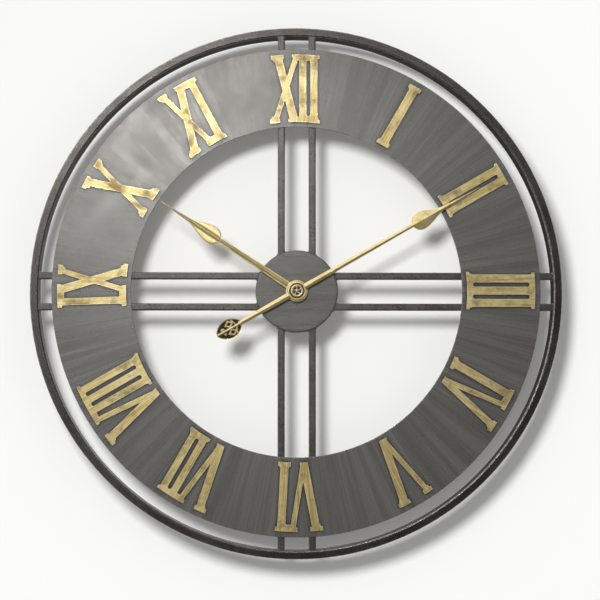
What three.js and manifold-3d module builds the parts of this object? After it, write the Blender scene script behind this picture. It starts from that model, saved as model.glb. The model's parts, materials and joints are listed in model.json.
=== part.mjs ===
// A skeleton wall clock: an open iron frame, a flat dial ring with twelve brass numerals, two leaf hands,
// and a battery quartz movement in a shallow cup at the centre.
// Millimetres, +Z up. The wall is the plane y = 0 and the clock faces -Y. The origin is the nail it hangs on.
import * as THREE from "three";
import { mergeVertices } from "three/addons/utils/BufferGeometryUtils.js";
import Module from "manifold-3d";

const wasm = await Module();
wasm.setup();

// ---------- driving dimensions ----------
// A "standoff" is a distance from the wall, so a piece at standoff 20 lies at y = -20.
const gap = 0.3; // kept where a piece is cut to its neighbour's curve
const seat = 0.05; // kept where a flat piece sits on a flat face

const rim = { radius: 300, width: 9.5, depth: 24, edge: 1.5, sides: 72 };
const dial = { margin: 15, width: 89, thickness: 1.2, setback: 0.7, sides: 72 }; // margin to the rim
const spoke = { width: 8, depth: 8, spacing: 35 };
const cup = { clearance: 5.7, wall: 1.2, depth: 20, edge: 1, sides: 36 }; // clearance past the case's corners
const hanger = { inset: 29.5, above: 9, below: 25, plate: 2, shank: 5, head: 10, drop: 11 }; // inset from the dial's edge
const numeral = {
  innerMargin: 5.5, outerMargin: 6.5, thickness: 2.5,
  thick: 9, thin: 5.8, single: 10, narrow: 7.8, slot: 4.8,
  serif: 4.6, overhang: 2.6, bracket: 3, tie: 6.4,
};
const hourHand = {
  length: 186.5, angle: 303.4, thickness: 1.8, hub: 12.4,
  root: 4.3, neck: 2.8, leaf: [104, 148], leafWide: 10.2, needle: 0.35,
};
const minuteHand = {
  length: 236.5, angle: 60.4, thickness: 1.8, hub: 10.4,
  root: 3.3, neck: 2, leaf: [150, 192], leafWide: 10, needle: 0.35,
  tail: [71, 103], tailRoot: 3.5, tailNeck: 2.7, finialWide: 11.2,
};
const leafShape = { peak: 0.24, end: 0.22 }; // where along the leaf it is widest, and how wide its front end is
const window = { along: 85, across: 4.9, halfLength: 2.9, halfWidth: 2.3 }; // openings in the finial
const collet = { wall: 1.3, flange: 1, flangeThickness: 0.5, fit: 0.12 };
const handNut = { radius: 7.2, height: 3, roof: 0.9 };
const handClearance = { hour: 0.25, minute: 0.85 }; // behind each collet's flange

const movement = { side: 56, depth: 16, wall: 1.2, cover: 1.2 };
const bushing = { wall: 1.2, proud: 0.6, flange: 2, flangeThickness: 0.5 }; // proud of the nut
const mountNut = { wall: 2, height: 2.5, fit: 0.15 };
const washer = { wall: 2.6, thickness: 0.5 };
const gasket = { wall: 6, thickness: 0.9 };
const arbors = { seconds: 0.75, minuteWall: 0.8, hourWall: 0.65, clearance: 0.2 }; // one tube within the next
const battery = { radius: 7.1, body: 48.6, nub: 1.6, nubRadius: 2.7, clearance: 0.5 };
const gearFace = { wheel: 0.8, pinion: 1 };
const pivot = { radius: 0.5, arbor: 0.8, bore: 0.65, depth: 0.6 };
const backlash = 0.22;

// Teeth of the train. Each wheel drives the pinion of the next arbor; the centre wheel turns once an hour.
const teeth = {
  centre: 48, thirdPinion: 6, third: 45, secondsPinion: 6, seconds: 36, fifthPinion: 6,
  fifth: 30, rotorPinion: 6, cannon: 10, motion: 30, motionPinion: 8, hour: 32, knob: 10,
};
const thirdDistance = 10.8;
const fifthDistance = 10.8;
const rotorDistance = 7.2;
const motionDistance = 9.6;
// Bearings seen from the front, in degrees from +X towards +Z.
const bearing = { third: 135, fifth: 20, rotor: 75, motion: 190, knob: 175 };

// ---------- derived places ----------
const rad = (degrees) => (degrees * Math.PI) / 180;
const polar = (radius, degrees) => [radius * Math.cos(rad(degrees)), radius * Math.sin(rad(degrees))];
const rimInner = rim.radius - rim.width;
const dialOuter = rimInner - dial.margin;
const dialInner = dialOuter - dial.width;
const dialBack = rim.depth - dial.setback;
const dialFront = dialBack + dial.thickness;
const numeralInner = dialInner + numeral.innerMargin;
const numeralOuter = dialOuter - numeral.outerMargin;
const nailRadius = dialOuter - hanger.inset;
const spokeFront = dialBack - seat;
const spokeBack = spokeFront - spoke.depth;
const numeralBack = dialFront + seat;

const cupRadius = movement.side * Math.SQRT1_2 + cup.clearance + cup.wall;
const cupInside = dialFront - cup.wall; // the cup's front is level with the dial's
const caseFront = cupInside - gasket.thickness - 2 * seat;
const minuteBore = arbors.seconds + arbors.clearance;
const minuteRadius = minuteBore + arbors.minuteWall;
const hourBore = minuteRadius + arbors.clearance;
const hourRadius = hourBore + arbors.hourWall;
const bushingBore = hourRadius + arbors.clearance;
const bushingRadius = bushingBore + bushing.wall;

// Along the axis, from the cup's front to the hands.
const washerBack = dialFront + seat;
const washerFront = washerBack + washer.thickness;
const nutBack = washerFront + seat;
const nutFront = nutBack + mountNut.height;
const bushingFront = nutFront + bushing.proud;
const colletBehind = collet.flangeThickness + seat;
const hourBack = bushingFront + handClearance.hour + colletBehind;
const hourFront = hourBack + hourHand.thickness;
const minuteBack = hourFront + handClearance.minute + colletBehind;
const minuteFront = minuteBack + minuteHand.thickness;
const handNutBack = minuteFront + seat;
const handNutFront = handNutBack + handNut.height;
// Depths inside the movement are counted back from the case's front.
const depthIn = (depth) => caseFront - depth;

// ---------- helpers ----------
// The corner radius of a many-sided hole whose flats clear a round of the given radius.
const roundHole = (radius, sides) => radius / Math.cos(Math.PI / sides);

// Turns a [radius, standoff] outline about the clock's axis.
function turned(outline, sides = 24) {
  const points = outline.map(([r, standoff]) => new THREE.Vector2(r, -standoff));
  if (THREE.ShapeUtils.isClockWise(points)) points.reverse();
  const onAxis = points.filter((p) => p.x === 0).length > 1;
  if (onAxis) while (!(points[0].x === 0 && points.at(-1).x === 0)) points.push(points.shift());
  else points.push(points[0].clone());
  return new THREE.LatheGeometry(points, sides);
}

const disc = (radius, back, front, sides) =>
  turned([[0, back], [radius, back], [radius, front], [0, front]], sides);

const ring = (inner, outer, back, front, sides) =>
  turned([[inner, back], [outer, back], [outer, front], [inner, front]], sides);

// A flat outline in x and z, between two standoffs.
function plate(shape, back, front, curveSegments = 6) {
  const geometry = new THREE.ExtrudeGeometry(shape, {
    depth: front - back, bevelEnabled: false, curveSegments,
  });
  return geometry.rotateX(Math.PI / 2).translate(0, -back, 0);
}

const outline = (points) => new THREE.Shape(points.map(([x, z]) => new THREE.Vector2(x, z)));

const rectangle = (x0, z0, x1, z1) => outline([[x0, z0], [x1, z0], [x1, z1], [x0, z1]]);

const block = (x0, z0, x1, z1, back, front) => plate(rectangle(x0, z0, x1, z1), back, front);

const at = (geometry, [x, z]) => geometry.translate(x, 0, z);

// A closed geometry as a solid that can be joined and cut.
function solid(geometry) {
  const bare = geometry.index ? geometry.toNonIndexed() : geometry.clone();
  bare.deleteAttribute("normal");
  bare.deleteAttribute("uv");
  const merged = mergeVertices(bare, 1e-4);
  const index = [];
  for (let i = 0; i < merged.index.count; i += 3) {
    const [a, b, c] = [0, 1, 2].map((k) => merged.index.getX(i + k));
    if (a !== b && b !== c && c !== a) index.push(a, b, c);
  }
  return new wasm.Manifold(new wasm.Mesh({
    numProp: 3,
    vertProperties: Float32Array.from(merged.attributes.position.array),
    triVerts: Uint32Array.from(index),
  }));
}

function geometryOf(body) {
  const mesh = body.getMesh();
  return new THREE.BufferGeometry()
    .setAttribute("position", new THREE.BufferAttribute(mesh.vertProperties, 3))
    .setIndex(new THREE.BufferAttribute(mesh.triVerts, 1))
    .toNonIndexed();
}

const joined = (...parts) => parts.map(solid).reduce((a, b) => a.add(b));

const cut = (body, ...tools) => tools.map(solid).reduce((a, b) => a.subtract(b), body);

const steel = (color = 0x5b5b59, roughness = 0.45) =>
  new THREE.MeshStandardMaterial({ color, roughness, metalness: 0.9 });
const finish = {
  rim: steel(0x4a4a48), spoke: steel(0x565654), dial: steel(0x666665), cup: steel(0x6a6a69),
  zinc: steel(0xb4b6b8, 0.35),
  gold: new THREE.MeshStandardMaterial({ color: 0xd8b765, roughness: 0.4, metalness: 0.9 }),
  brass: new THREE.MeshStandardMaterial({ color: 0xc8a24a, roughness: 0.3, metalness: 1 }),
  blackPlastic: new THREE.MeshStandardMaterial({ color: 0x1c1c1e, roughness: 0.55 }),
  whitePlastic: new THREE.MeshStandardMaterial({ color: 0xe4e2da, roughness: 0.5 }),
  rubber: new THREE.MeshStandardMaterial({ color: 0x202020, roughness: 0.9 }),
  board: new THREE.MeshStandardMaterial({ color: 0x2c6a3c, roughness: 0.6 }),
  copper: new THREE.MeshStandardMaterial({ color: 0xb4622c, roughness: 0.35, metalness: 0.9 }),
  jacket: new THREE.MeshStandardMaterial({ color: 0x2a3f8c, roughness: 0.4 }),
};

const nail = new THREE.Group(); // the part's frame
const centre = new THREE.Group(); // the axis of the hands
centre.position.z = -nailRadius;
nail.add(centre);

function add(name, geometry, material, parent = centre) {
  const mesh = new THREE.Mesh(geometry, material);
  mesh.name = name;
  parent.add(mesh);
  return mesh;
}

// ---------- frame ----------
// The rim is a flat iron bar rolled on edge, its front corners eased; its back edge rests on the wall.
function addRim() {
  const { radius, depth, edge } = rim;
  add("rim", turned([
    [rimInner, 0], [radius, 0], [radius, depth - edge], [radius - edge, depth],
    [rimInner + edge, depth], [rimInner, depth - edge],
  ], rim.sides), finish.rim);
}

// Two pairs of square bars cross the clock. Each is cut in two at the cup, and its ends follow the curves.
function spokeOutline() {
  const half = spoke.width / 2;
  const across = [-half, 0, half].map((offset) => spoke.spacing / 2 + offset);
  const height = (radius, x) => Math.sqrt(radius ** 2 - x ** 2);
  const near = across.map((x) => [x, height(cupRadius + gap, x)]);
  const far = across.map((x) => [x, height(rimInner - gap - edgeSag(rimInner, rim.sides), x)]);
  return outline([...near, ...far.reverse()]);
}

// How far the flats of a many-sided circle lie inside its corners.
function edgeSag(radius, sides) {
  return radius * (1 - Math.cos(Math.PI / sides));
}

function addSpokes() {
  const quarters = ["top", "right", "bottom", "left"];
  quarters.forEach((quarter, turn) => {
    [["a", 1], ["b", -1]].forEach(([side, hand]) => {
      const shape = spokeOutline();
      const flipped = outline(shape.getPoints().map((p) => [hand * p.x, p.y]));
      const mesh = add(`spoke_${quarter}_${side}`, plate(flipped, spokeBack, spokeFront), finish.spoke);
      mesh.rotation.y = (turn * Math.PI) / 2;
    });
  });
}

function addDialRing() {
  add("dial_ring", ring(dialInner, dialOuter, dialBack, dialFront, dial.sides), finish.dial);
}

// The cup is pressed from sheet: a round front with an eased edge, a side wall, and a hole for the bushing.
function addCup() {
  const { wall, depth, edge, sides } = cup;
  const back = dialFront - depth;
  const hole = bushingRadius + gap;
  add("centre_cup", turned([
    [hole, dialFront], [cupRadius - edge, dialFront], [cupRadius, dialFront - edge], [cupRadius, back],
    [cupRadius - wall, back], [cupRadius - wall, cupInside], [hole, cupInside],
  ], sides), finish.cup);
}

// A bracket bent from strip: its web lies on the wall and holds a keyhole, its legs are welded to the
// back of the upper spokes. The origin is the top of the keyhole's slot, where the nail bears.
function addHanger() {
  const { above, below, plate: t, shank, head, drop } = hanger;
  const half = spoke.spacing / 2 + t / 2;
  const reach = spokeBack - gap;
  const section = outline([
    [-half, 0], [half, 0], [half, -reach], [half - t, -reach], [half - t, -t],
    [t - half, -t], [t - half, -reach], [-half, -reach],
  ]);
  const strip = new THREE.ExtrudeGeometry(section, { depth: above + below, bevelEnabled: false });
  strip.translate(0, 0, -below);
  const slotTop = -shank / 2; // centre of the slot's round top
  const slot = new THREE.Shape();
  slot.absarc(0, slotTop, shank / 2, 0, Math.PI, false);
  slot.lineTo(-shank / 2, -drop);
  slot.lineTo(shank / 2, -drop);
  const entry = at(disc(head / 2, -t, 2 * t, 16), [0, -drop - head / 2 + shank / 4]);
  add("hanger_bracket", geometryOf(cut(solid(strip), plate(slot, -t, 2 * t, 8), entry)), finish.zinc, nail);
}

// ---------- numerals ----------
// Numerals are drawn upright, with x along the dial and z from its centre, and turned to their hours.
const numeralPlate = (shape) => plate(shape, numeralBack, numeralBack + numeral.thickness, 5);

// A straight stroke from the inner circle to the outer one, given the middle of each end and its width.
function stroke(outerX, innerX, width) {
  const { serif } = numeral;
  const [low, high] = [numeralInner - serif, numeralOuter + serif]; // run past both circles, trimmed by them
  const slope = (outerX - innerX) / (numeralOuter - numeralInner);
  const xAt = (z) => innerX + slope * (z - numeralInner);
  const half = width / 2;
  return numeralPlate(outline([
    [xAt(low) - half, low], [xAt(low) + half, low], [xAt(high) + half, high], [xAt(high) - half, high],
  ]));
}

// A serif, or the tie across joined strokes, at the outer (+1) or inner (-1) end, bent to the circle.
function serif(left, right, end, height = numeral.serif) {
  const { overhang, bracket } = numeral;
  const edge = end > 0 ? numeralOuter : numeralInner;
  const [x0, x1] = [left - overhang, right + overhang];
  const shape = new THREE.Shape();
  shape.moveTo(x0, 0);
  shape.lineTo(x0, height);
  shape.quadraticCurveTo(left, height, left, height + bracket);
  shape.lineTo(right, height + bracket);
  shape.quadraticCurveTo(right, height, x1, height);
  shape.lineTo(x1, 0);
  const steps = Math.ceil((x1 - x0) / 8);
  const rounded = shape.getPoints(3);
  const along = Array.from({ length: steps - 1 }, (_, i) => [x1 + ((x0 - x1) * (i + 1)) / steps, 0]);
  const bend = ([x, depth]) => {
    const r = edge - end * depth;
    return [r * Math.sin(x / edge), r * Math.cos(x / edge)];
  };
  const flat = [...rounded.map((p) => [p.x, p.y]), ...along];
  return numeralPlate(outline(flat.map(bend)));
}

// Parallel strokes side by side: their middles, and the middles of the slots between them.
function bars(count, middle, width) {
  const pitch = width + numeral.slot;
  const first = middle - ((count - 1) * pitch) / 2;
  return {
    strokes: Array.from({ length: count }, (_, i) => first + i * pitch),
    slots: Array.from({ length: count - 1 }, (_, i) => first + (i + 0.5) * pitch),
    left: first - width / 2,
    right: first + (count - 0.5) * pitch - numeral.slot / 2,
    width,
  };
}

// The block that parallel strokes are cut from, and the round-ended slots that part them.
const barBlock = (set) => stroke((set.left + set.right) / 2, (set.left + set.right) / 2, set.right - set.left);

function slotCutter(x) {
  const { slot, tie } = numeral;
  const radius = slot / 2;
  const shape = new THREE.Shape();
  shape.absarc(x, numeralOuter - tie - radius, radius, 0, Math.PI, false);
  shape.absarc(x, numeralInner + tie + radius, radius, Math.PI, 2 * Math.PI, false);
  return plate(shape, numeralBack - 1, numeralBack + numeral.thickness + 1, 6);
}

// Joins a numeral's pieces, trims them to the two circles and cuts its slots.
function numeralBody(pieces, slots = []) {
  const band = ring(numeralInner, numeralOuter, numeralBack, numeralBack + numeral.thickness, 180);
  const body = joined(...pieces).intersect(solid(band));
  return cut(body, ...slots.map(slotCutter));
}

// Middles of the ends of each letter's strokes. The V's foot is one point, and its arms meet there.
const letter = {
  four: { bar: -18.5, thinTop: -6, foot: 3.4, thickTop: 21.6 },
  five: { thinTop: -15.8, foot: 0, thickTop: 14.6 },
  six: { thickTop: -22.5, foot: -7.5, thinTop: 5, barTop: 17.8, barFoot: 13.6 },
  seven: { thickTop: -28.5, foot: -12.8, thinTop: -3.2, bars: 13.2 },
  eight: { thickTop: -40, foot: -19.5, thinTop: -13.4, bars: 10.6 },
  nine: { barTop: -12.6, barFoot: -10, thickTop: 0.4, thickFoot: 23.2, thinTop: 24.4, thinFoot: 0.6 },
  ten: { thickTop: -12.6, thickFoot: 14.2, thinTop: 12.2, thinFoot: -9.4 },
  elevenShift: 2,
  twelve: { thickTop: -22.6, thickFoot: -2.4, thinTop: 0, thinFoot: -24.4, bars: 13 },
};

const foot = (x, width, end) => serif(x - width / 2, x + width / 2, end);
const tie = (left, right, end) => serif(left, right, end, numeral.tie - numeral.bracket);

function barsOnly(count, middle, width) {
  const set = bars(count, middle, width);
  const ends = count > 1 ? tie : serif;
  const pieces = [barBlock(set), ends(set.left, set.right, 1), ends(set.left, set.right, -1)];
  return numeralBody(pieces, set.slots);
}

// A V and the bars after it: the thin arm's top is tied to the bars, and the bars' feet to each other.
function vWithBars({ thickTop, foot: apex, thinTop, bars: middle }, count) {
  const { thick, thin, narrow } = numeral;
  const set = bars(count, middle, narrow);
  return numeralBody([
    stroke(thickTop, apex, thick), stroke(thinTop, apex, thin), barBlock(set),
    foot(thickTop, thick, 1), tie(thinTop - thin / 2, set.right, 1), tie(set.left, set.right, -1),
  ], set.slots);
}

function numeralNine() {
  const { thick, thin, narrow } = numeral;
  const { barTop, barFoot, thickTop, thickFoot, thinTop, thinFoot } = letter.nine;
  return numeralBody([
    stroke(barTop, barFoot, narrow), stroke(thickTop, thickFoot, thick), stroke(thinTop, thinFoot, thin),
    serif(barTop - narrow / 2, thickTop + thick / 2, 1), foot(thinTop, thin, 1),
    serif(barFoot - narrow / 2, thinFoot + thin / 2, -1), foot(thickFoot, thick, -1),
  ]);
}

function numeralBodies() {
  const { thick, thin, narrow, single } = numeral;
  const { four, five, six, seven, eight, ten, twelve, elevenShift } = letter;
  const nine = numeralNine();
  const pair = bars(2, twelve.bars, narrow);
  return [
    barsOnly(1, 0.6, single),
    barsOnly(2, 0.4, thick),
    barsOnly(3, -1, thick),
    numeralBody([
      stroke(four.bar, four.bar, thick), stroke(four.thinTop, four.foot, thin),
      stroke(four.thickTop, four.foot, narrow), foot(four.thickTop, narrow, 1),
      serif(four.bar - thick / 2, four.thinTop + thin / 2, 1), foot(four.bar, thick, -1),
    ]),
    numeralBody([
      stroke(five.thinTop, five.foot, thin), stroke(five.thickTop, five.foot, thick),
      foot(five.thinTop, thin, 1), foot(five.thickTop, thick, 1),
    ]),
    numeralBody([
      stroke(six.thickTop, six.foot, thick), stroke(six.thinTop, six.foot, thin),
      stroke(six.barTop, six.barFoot, thick), foot(six.thickTop, thick, 1),
      serif(six.thinTop - thin / 2, six.barTop + thick / 2, 1), foot(six.barFoot, thick, -1),
    ]),
    vWithBars(seven, 2),
    vWithBars(eight, 3),
    nine,
    numeralBody([
      stroke(ten.thickTop, ten.thickFoot, thick), stroke(ten.thinTop, ten.thinFoot, thin),
      foot(ten.thickTop, thick, 1), foot(ten.thinTop, thin, 1),
      foot(ten.thickFoot, thick, -1), foot(ten.thinFoot, thin, -1),
    ]),
    nine.mirror([1, 0, 0]).translate([elevenShift, 0, 0]), // eleven is the nine turned over
    numeralBody([
      stroke(twelve.thickTop, twelve.thickFoot, thick), stroke(twelve.thinTop, twelve.thinFoot, thin),
      barBlock(pair), foot(twelve.thickTop, thick, 1), foot(twelve.thinFoot, thin, -1),
      tie(twelve.thinTop - thin / 2, pair.right, 1), tie(twelve.thickFoot - thick / 2, pair.right, -1),
    ], pair.slots),
  ];
}

function addNumerals() {
  numeralBodies().forEach((body, index) => {
    const hour = index + 1;
    add(`numeral_${hour}`, geometryOf(body), finish.gold).rotation.y = rad(hour * 30);
  });
}

// ---------- hands ----------
// Half the outline of a hand, as [distance from the axis, half width] points. The leaf swells in a quarter
// ellipse to its widest place, then falls along a cosine to the needle.
function bladeEdge({ length, root, neck, leaf: [start, end], leafWide, needle, hub }) {
  const { peak, end: endShare } = leafShape;
  const share = (u) => (u < peak
    ? Math.sqrt(1 - (1 - u / peak) ** 2)
    : endShare + (1 - endShare) * (0.5 + 0.5 * Math.cos((Math.PI * (u - peak)) / (1 - peak))));
  const leaf = [0.03, 0.08, 0.15, 0.24, 0.34, 0.44, 0.56, 0.68, 0.82, 1].map((u) =>
    [start + (end - start) * u, leafWide * share(u)]);
  return [[hub * 0.8, root], [start, neck], ...leaf, [length, needle]];
}

// A closed outline from half of one, mirrored about the hand's own line.
const bothSides = (edge) => outline([
  ...edge.map(([along, half]) => [half, along]), ...edge.slice().reverse().map(([along, half]) => [-half, along]),
]);

// The tail is a bar that ends in a pointed bud.
function tailEdge({ hub, tail: [start, end], tailRoot, tailNeck, finialWide }) {
  const bud = [0.06, 0.16, 0.3, 0.48, 0.66, 0.82, 0.93].map((u) =>
    [start + (end - start) * u, finialWide * Math.sin(Math.PI * u) ** 0.6]);
  return [[hub * 0.8, tailRoot], [start, tailNeck], ...bud, [end, 0.3]];
}

// The blades and the hub of a hand, bored for its collet.
function handBody({ hub }, shapes, back, front, pipeRadius) {
  const bore = roundHole(pipeRadius + collet.fit + collet.wall + seat, 16);
  const blades = shapes.map((shape) => plate(shape, back, front));
  return cut(joined(...blades, disc(hub, back, front, 24)), disc(bore, back - 1, front + 1, 16));
}

function addHourHand() {
  const body = handBody(hourHand, [bothSides(bladeEdge(hourHand))], hourBack, hourFront, hourRadius);
  add("hour_hand", geometryOf(body), finish.gold).rotation.y = rad(hourHand.angle);
}

function addMinuteHand() {
  const turnedBack = (points) => outline(points.map(([x, z]) => [-x, -z]));
  const tail = turnedBack(bothSides(tailEdge(minuteHand)).getPoints().map((p) => [p.x, p.y]));
  const blades = [bothSides(bladeEdge(minuteHand)), tail];
  const body = handBody(minuteHand, blades, minuteBack, minuteFront, minuteRadius);
  const { along, across, halfLength, halfWidth } = window;
  const windows = [-across, across].map((x) => plate(turnedBack([
    [x - halfWidth, along], [x, along - halfLength], [x + halfWidth, along], [x, along + halfLength],
  ]), minuteBack - 1, minuteFront + 1));
  add("minute_hand", geometryOf(cut(body, ...windows)), finish.gold).rotation.y = rad(minuteHand.angle);
}

// Each hand is pressed on a collet, whose flange stands behind the hand.
function addCollet(name, radius, back, front) {
  const bore = radius + collet.fit;
  const outside = bore + collet.wall;
  const shoulder = back - seat;
  add(name, turned([
    [bore, shoulder - collet.flangeThickness], [outside + collet.flange, shoulder - collet.flangeThickness],
    [outside + collet.flange, shoulder], [outside, shoulder], [outside, front],
    [bore, front],
  ], 16), finish.brass);
}

// A cap nut closes the front of the minute pipe.
function addHandNut() {
  const [back, front] = [handNutBack, handNutFront];
  const bore = minuteRadius + collet.fit;
  add("hand_nut", turned([
    [0, front - handNut.roof], [bore, front - handNut.roof], [bore, back], [handNut.radius, back],
    [handNut.radius, front - 1], [handNut.radius - 1, front], [0, front],
  ], 20), finish.brass);
}

// ---------- movement ----------
// A gear's outline: straight-sided teeth on the pitch circle, thinned by half of the backlash.
function gearShape(count, module, phase) {
  const pitch = (module * count) / 2;
  const [tip, root] = [pitch + 0.7 * module, pitch - 0.95 * module];
  const half = (Math.PI * module) / 4 - backlash / 4;
  const halfAt = (r) => Math.max((half - (r - pitch) * Math.tan(rad(24))) / r, 0.02 / r);
  const points = [];
  for (let i = 0; i < count; i++) {
    const middle = phase + (2 * Math.PI * i) / count;
    for (const [r, side] of [[root, -1], [tip, -1], [tip, 1], [root, 1]]) {
      const angle = middle + side * halfAt(r);
      points.push([r * Math.cos(angle), r * Math.sin(angle)]);
    }
  }
  return outline(points);
}

// The phase that puts a space of the second gear against a tooth of the first, along their line of centres.
function meshPhase(degrees, phase, count, otherCount) {
  const line = rad(degrees);
  const share = ((line - phase) * count) / (2 * Math.PI);
  return line + Math.PI - ((0.5 - share) * 2 * Math.PI) / otherCount;
}

const moduleOf = (distance, a, b) => (2 * distance) / (a + b);
const module = {
  centre: moduleOf(thirdDistance, teeth.centre, teeth.thirdPinion),
  third: moduleOf(thirdDistance, teeth.third, teeth.secondsPinion),
  seconds: moduleOf(fifthDistance, teeth.seconds, teeth.fifthPinion),
  fifth: moduleOf(rotorDistance, teeth.fifth, teeth.rotorPinion),
  motion: moduleOf(motionDistance, teeth.cannon, teeth.motion),
  hour: moduleOf(motionDistance, teeth.motionPinion, teeth.hour),
};
const place = { centre: [0, 0], third: polar(thirdDistance, bearing.third) };
place.fifth = polar(fifthDistance, bearing.fifth);
place.rotor = place.fifth.map((v, i) => v + polar(rotorDistance, bearing.rotor)[i]);
place.motion = polar(motionDistance, bearing.motion);
place.knob = place.motion.map((v, i) => v + polar(motionDistance, bearing.knob)[i]);

// Phases, worked along the train from the centre wheel.
const phase = { centre: 0, third: 0, seconds: 0, fifth: 0, cannon: 0, motionPinion: 0 };
phase.thirdPinion = meshPhase(bearing.third, phase.centre, teeth.centre, teeth.thirdPinion);
phase.secondsPinion = meshPhase(bearing.third + 180, phase.third, teeth.third, teeth.secondsPinion);
phase.fifthPinion = meshPhase(bearing.fifth, phase.seconds, teeth.seconds, teeth.fifthPinion);
phase.rotorPinion = meshPhase(bearing.rotor, phase.fifth, teeth.fifth, teeth.rotorPinion);
phase.motion = meshPhase(bearing.motion, phase.cannon, teeth.cannon, teeth.motion);
phase.hour = meshPhase(bearing.motion + 180, phase.motionPinion, teeth.motionPinion, teeth.hour);
phase.knob = meshPhase(bearing.knob, phase.motion, teeth.motion, teeth.knob);

// Depths of the layers in the case, from its front.
const layer = {
  hour: 2, motion: 3.3, centre: 4.7, third: 6.1, seconds: 7.5, fifth: 8.9, magnet: 10.2, stator: 10.7,
  bridge: 13,
};
const bridgeThickness = 1;
const stud = { radius: 0.6, height: 3.4 }; // carries the motion wheel, and is moulded with the case

const gear = (count, module_, phase_, depth, face) =>
  plate(gearShape(count, module_, phase_), depthIn(depth + face), depthIn(depth));
const wheel = (count, m, p, depth) => gear(count, m, p, depth, gearFace.wheel);
const pinion = (count, m, p, depth) => gear(count, m, p, depth - 0.1, gearFace.pinion);
const arbor = (radius, from, to) => disc(radius, depthIn(to), depthIn(from), 8);

// An arbor with thin pivots that run in the case's front and in the bridge.
const pivoted = (from, to) => [
  arbor(pivot.arbor, from, to),
  arbor(pivot.radius, movement.wall - pivot.depth + 0.1, from + 0.1),
  arbor(pivot.radius, to - 0.1, layer.bridge + bridgeThickness - 0.1),
];
const arborFrom = movement.wall + 0.2;
const arborTo = layer.bridge - 0.2;

function addTrain() {
  const minuteTip = handNutFront - handNut.roof - seat;
  const pipe = ring(minuteBore, minuteRadius, depthIn(layer.centre + gearFace.wheel), minuteTip, 12);
  const wheelHole = disc(minuteBore, depthIn(layer.centre + 2), depthIn(layer.motion - 2), 12);
  add("centre_wheel", geometryOf(cut(joined(
    pipe, wheel(teeth.centre, module.centre, phase.centre, layer.centre),
    pinion(teeth.cannon, module.motion, phase.cannon, layer.motion),
  ), wheelHole)), finish.whitePlastic);

  const hourPipe = ring(hourBore, hourRadius, depthIn(layer.hour + gearFace.wheel), hourFront, 16);
  const hourHole = disc(hourBore, depthIn(layer.hour + 2), depthIn(layer.hour - 2), 16);
  add("hour_wheel", geometryOf(cut(
    joined(hourPipe, wheel(teeth.hour, module.hour, phase.hour, layer.hour)), hourHole,
  )), finish.whitePlastic);

  const studHole = disc(stud.radius + collet.fit, depthIn(layer.motion + 2), depthIn(layer.hour - 1), 10);
  add("motion_wheel", at(geometryOf(cut(joined(
    wheel(teeth.motion, module.motion, phase.motion, layer.motion),
    gear(teeth.motionPinion, module.hour, phase.motionPinion, layer.hour - 0.1, layer.motion - layer.hour + 0.2),
  ), studHole)), place.motion), finish.whitePlastic);

  add("third_wheel", at(geometryOf(joined(
    ...pivoted(arborFrom, arborTo), wheel(teeth.third, module.third, phase.third, layer.third),
    pinion(teeth.thirdPinion, module.centre, phase.thirdPinion, layer.centre),
  )), place.third), finish.whitePlastic);

  add("seconds_wheel", geometryOf(joined(
    disc(arbors.seconds, depthIn(arborTo), minuteBack, 8), arbor(pivot.radius, arborTo - 0.1, arborTo + 0.9),
    wheel(teeth.seconds, module.seconds, phase.seconds, layer.seconds),
    pinion(teeth.secondsPinion, module.third, phase.secondsPinion, layer.third),
  )), finish.whitePlastic);

  add("fifth_wheel", at(geometryOf(joined(
    ...pivoted(arborFrom, arborTo), wheel(teeth.fifth, module.fifth, phase.fifth, layer.fifth),
    pinion(teeth.fifthPinion, module.seconds, phase.fifthPinion, layer.seconds),
  )), place.fifth), finish.whitePlastic);

  add("rotor", at(geometryOf(joined(
    ...pivoted(arborFrom, arborTo), arbor(rotorMagnet.radius, layer.magnet, layer.magnet + rotorMagnet.height),
    pinion(teeth.rotorPinion, module.fifth, phase.rotorPinion, layer.fifth),
  )), place.rotor), finish.whitePlastic);
}
const rotorMagnet = { radius: 1.9, height: 2 };

// The knob at the back turns the motion wheel, and so sets both hands.
const knob = { radius: 6, flutes: 20, shaft: 1.4, height: 2.6, pinionPivot: 0.8 };

function addKnob() {
  const back = movement.depth + movement.cover + 0.4;
  const rimShape = outline(Array.from({ length: 2 * knob.flutes }, (_, i) =>
    polar(knob.radius - (i % 2) * 0.45, (i * 180) / knob.flutes)));
  add("setting_knob", at(geometryOf(joined(
    arbor(knob.shaft, layer.motion - 0.1, back + 0.5),
    arbor(knob.pinionPivot, movement.wall - pivot.depth + 0.1, layer.motion),
    pinion(teeth.knob, module.motion, phase.knob, layer.motion),
    plate(rimShape, depthIn(back + knob.height), depthIn(back)),
  )), place.knob), finish.blackPlastic);
}

// The case: an open box with a battery bay across its lower part, bridge posts, a stud and pivot holes.
const bayTop = movement.wall - movement.side / 2 + 2 * (battery.radius + battery.clearance);
const posts = [[-23.5, 13], [23.5, 12], [15, -7.8], [-20, -7.8]];
const post = { radius: 1.6, pinRadius: 0.7 };

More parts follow.
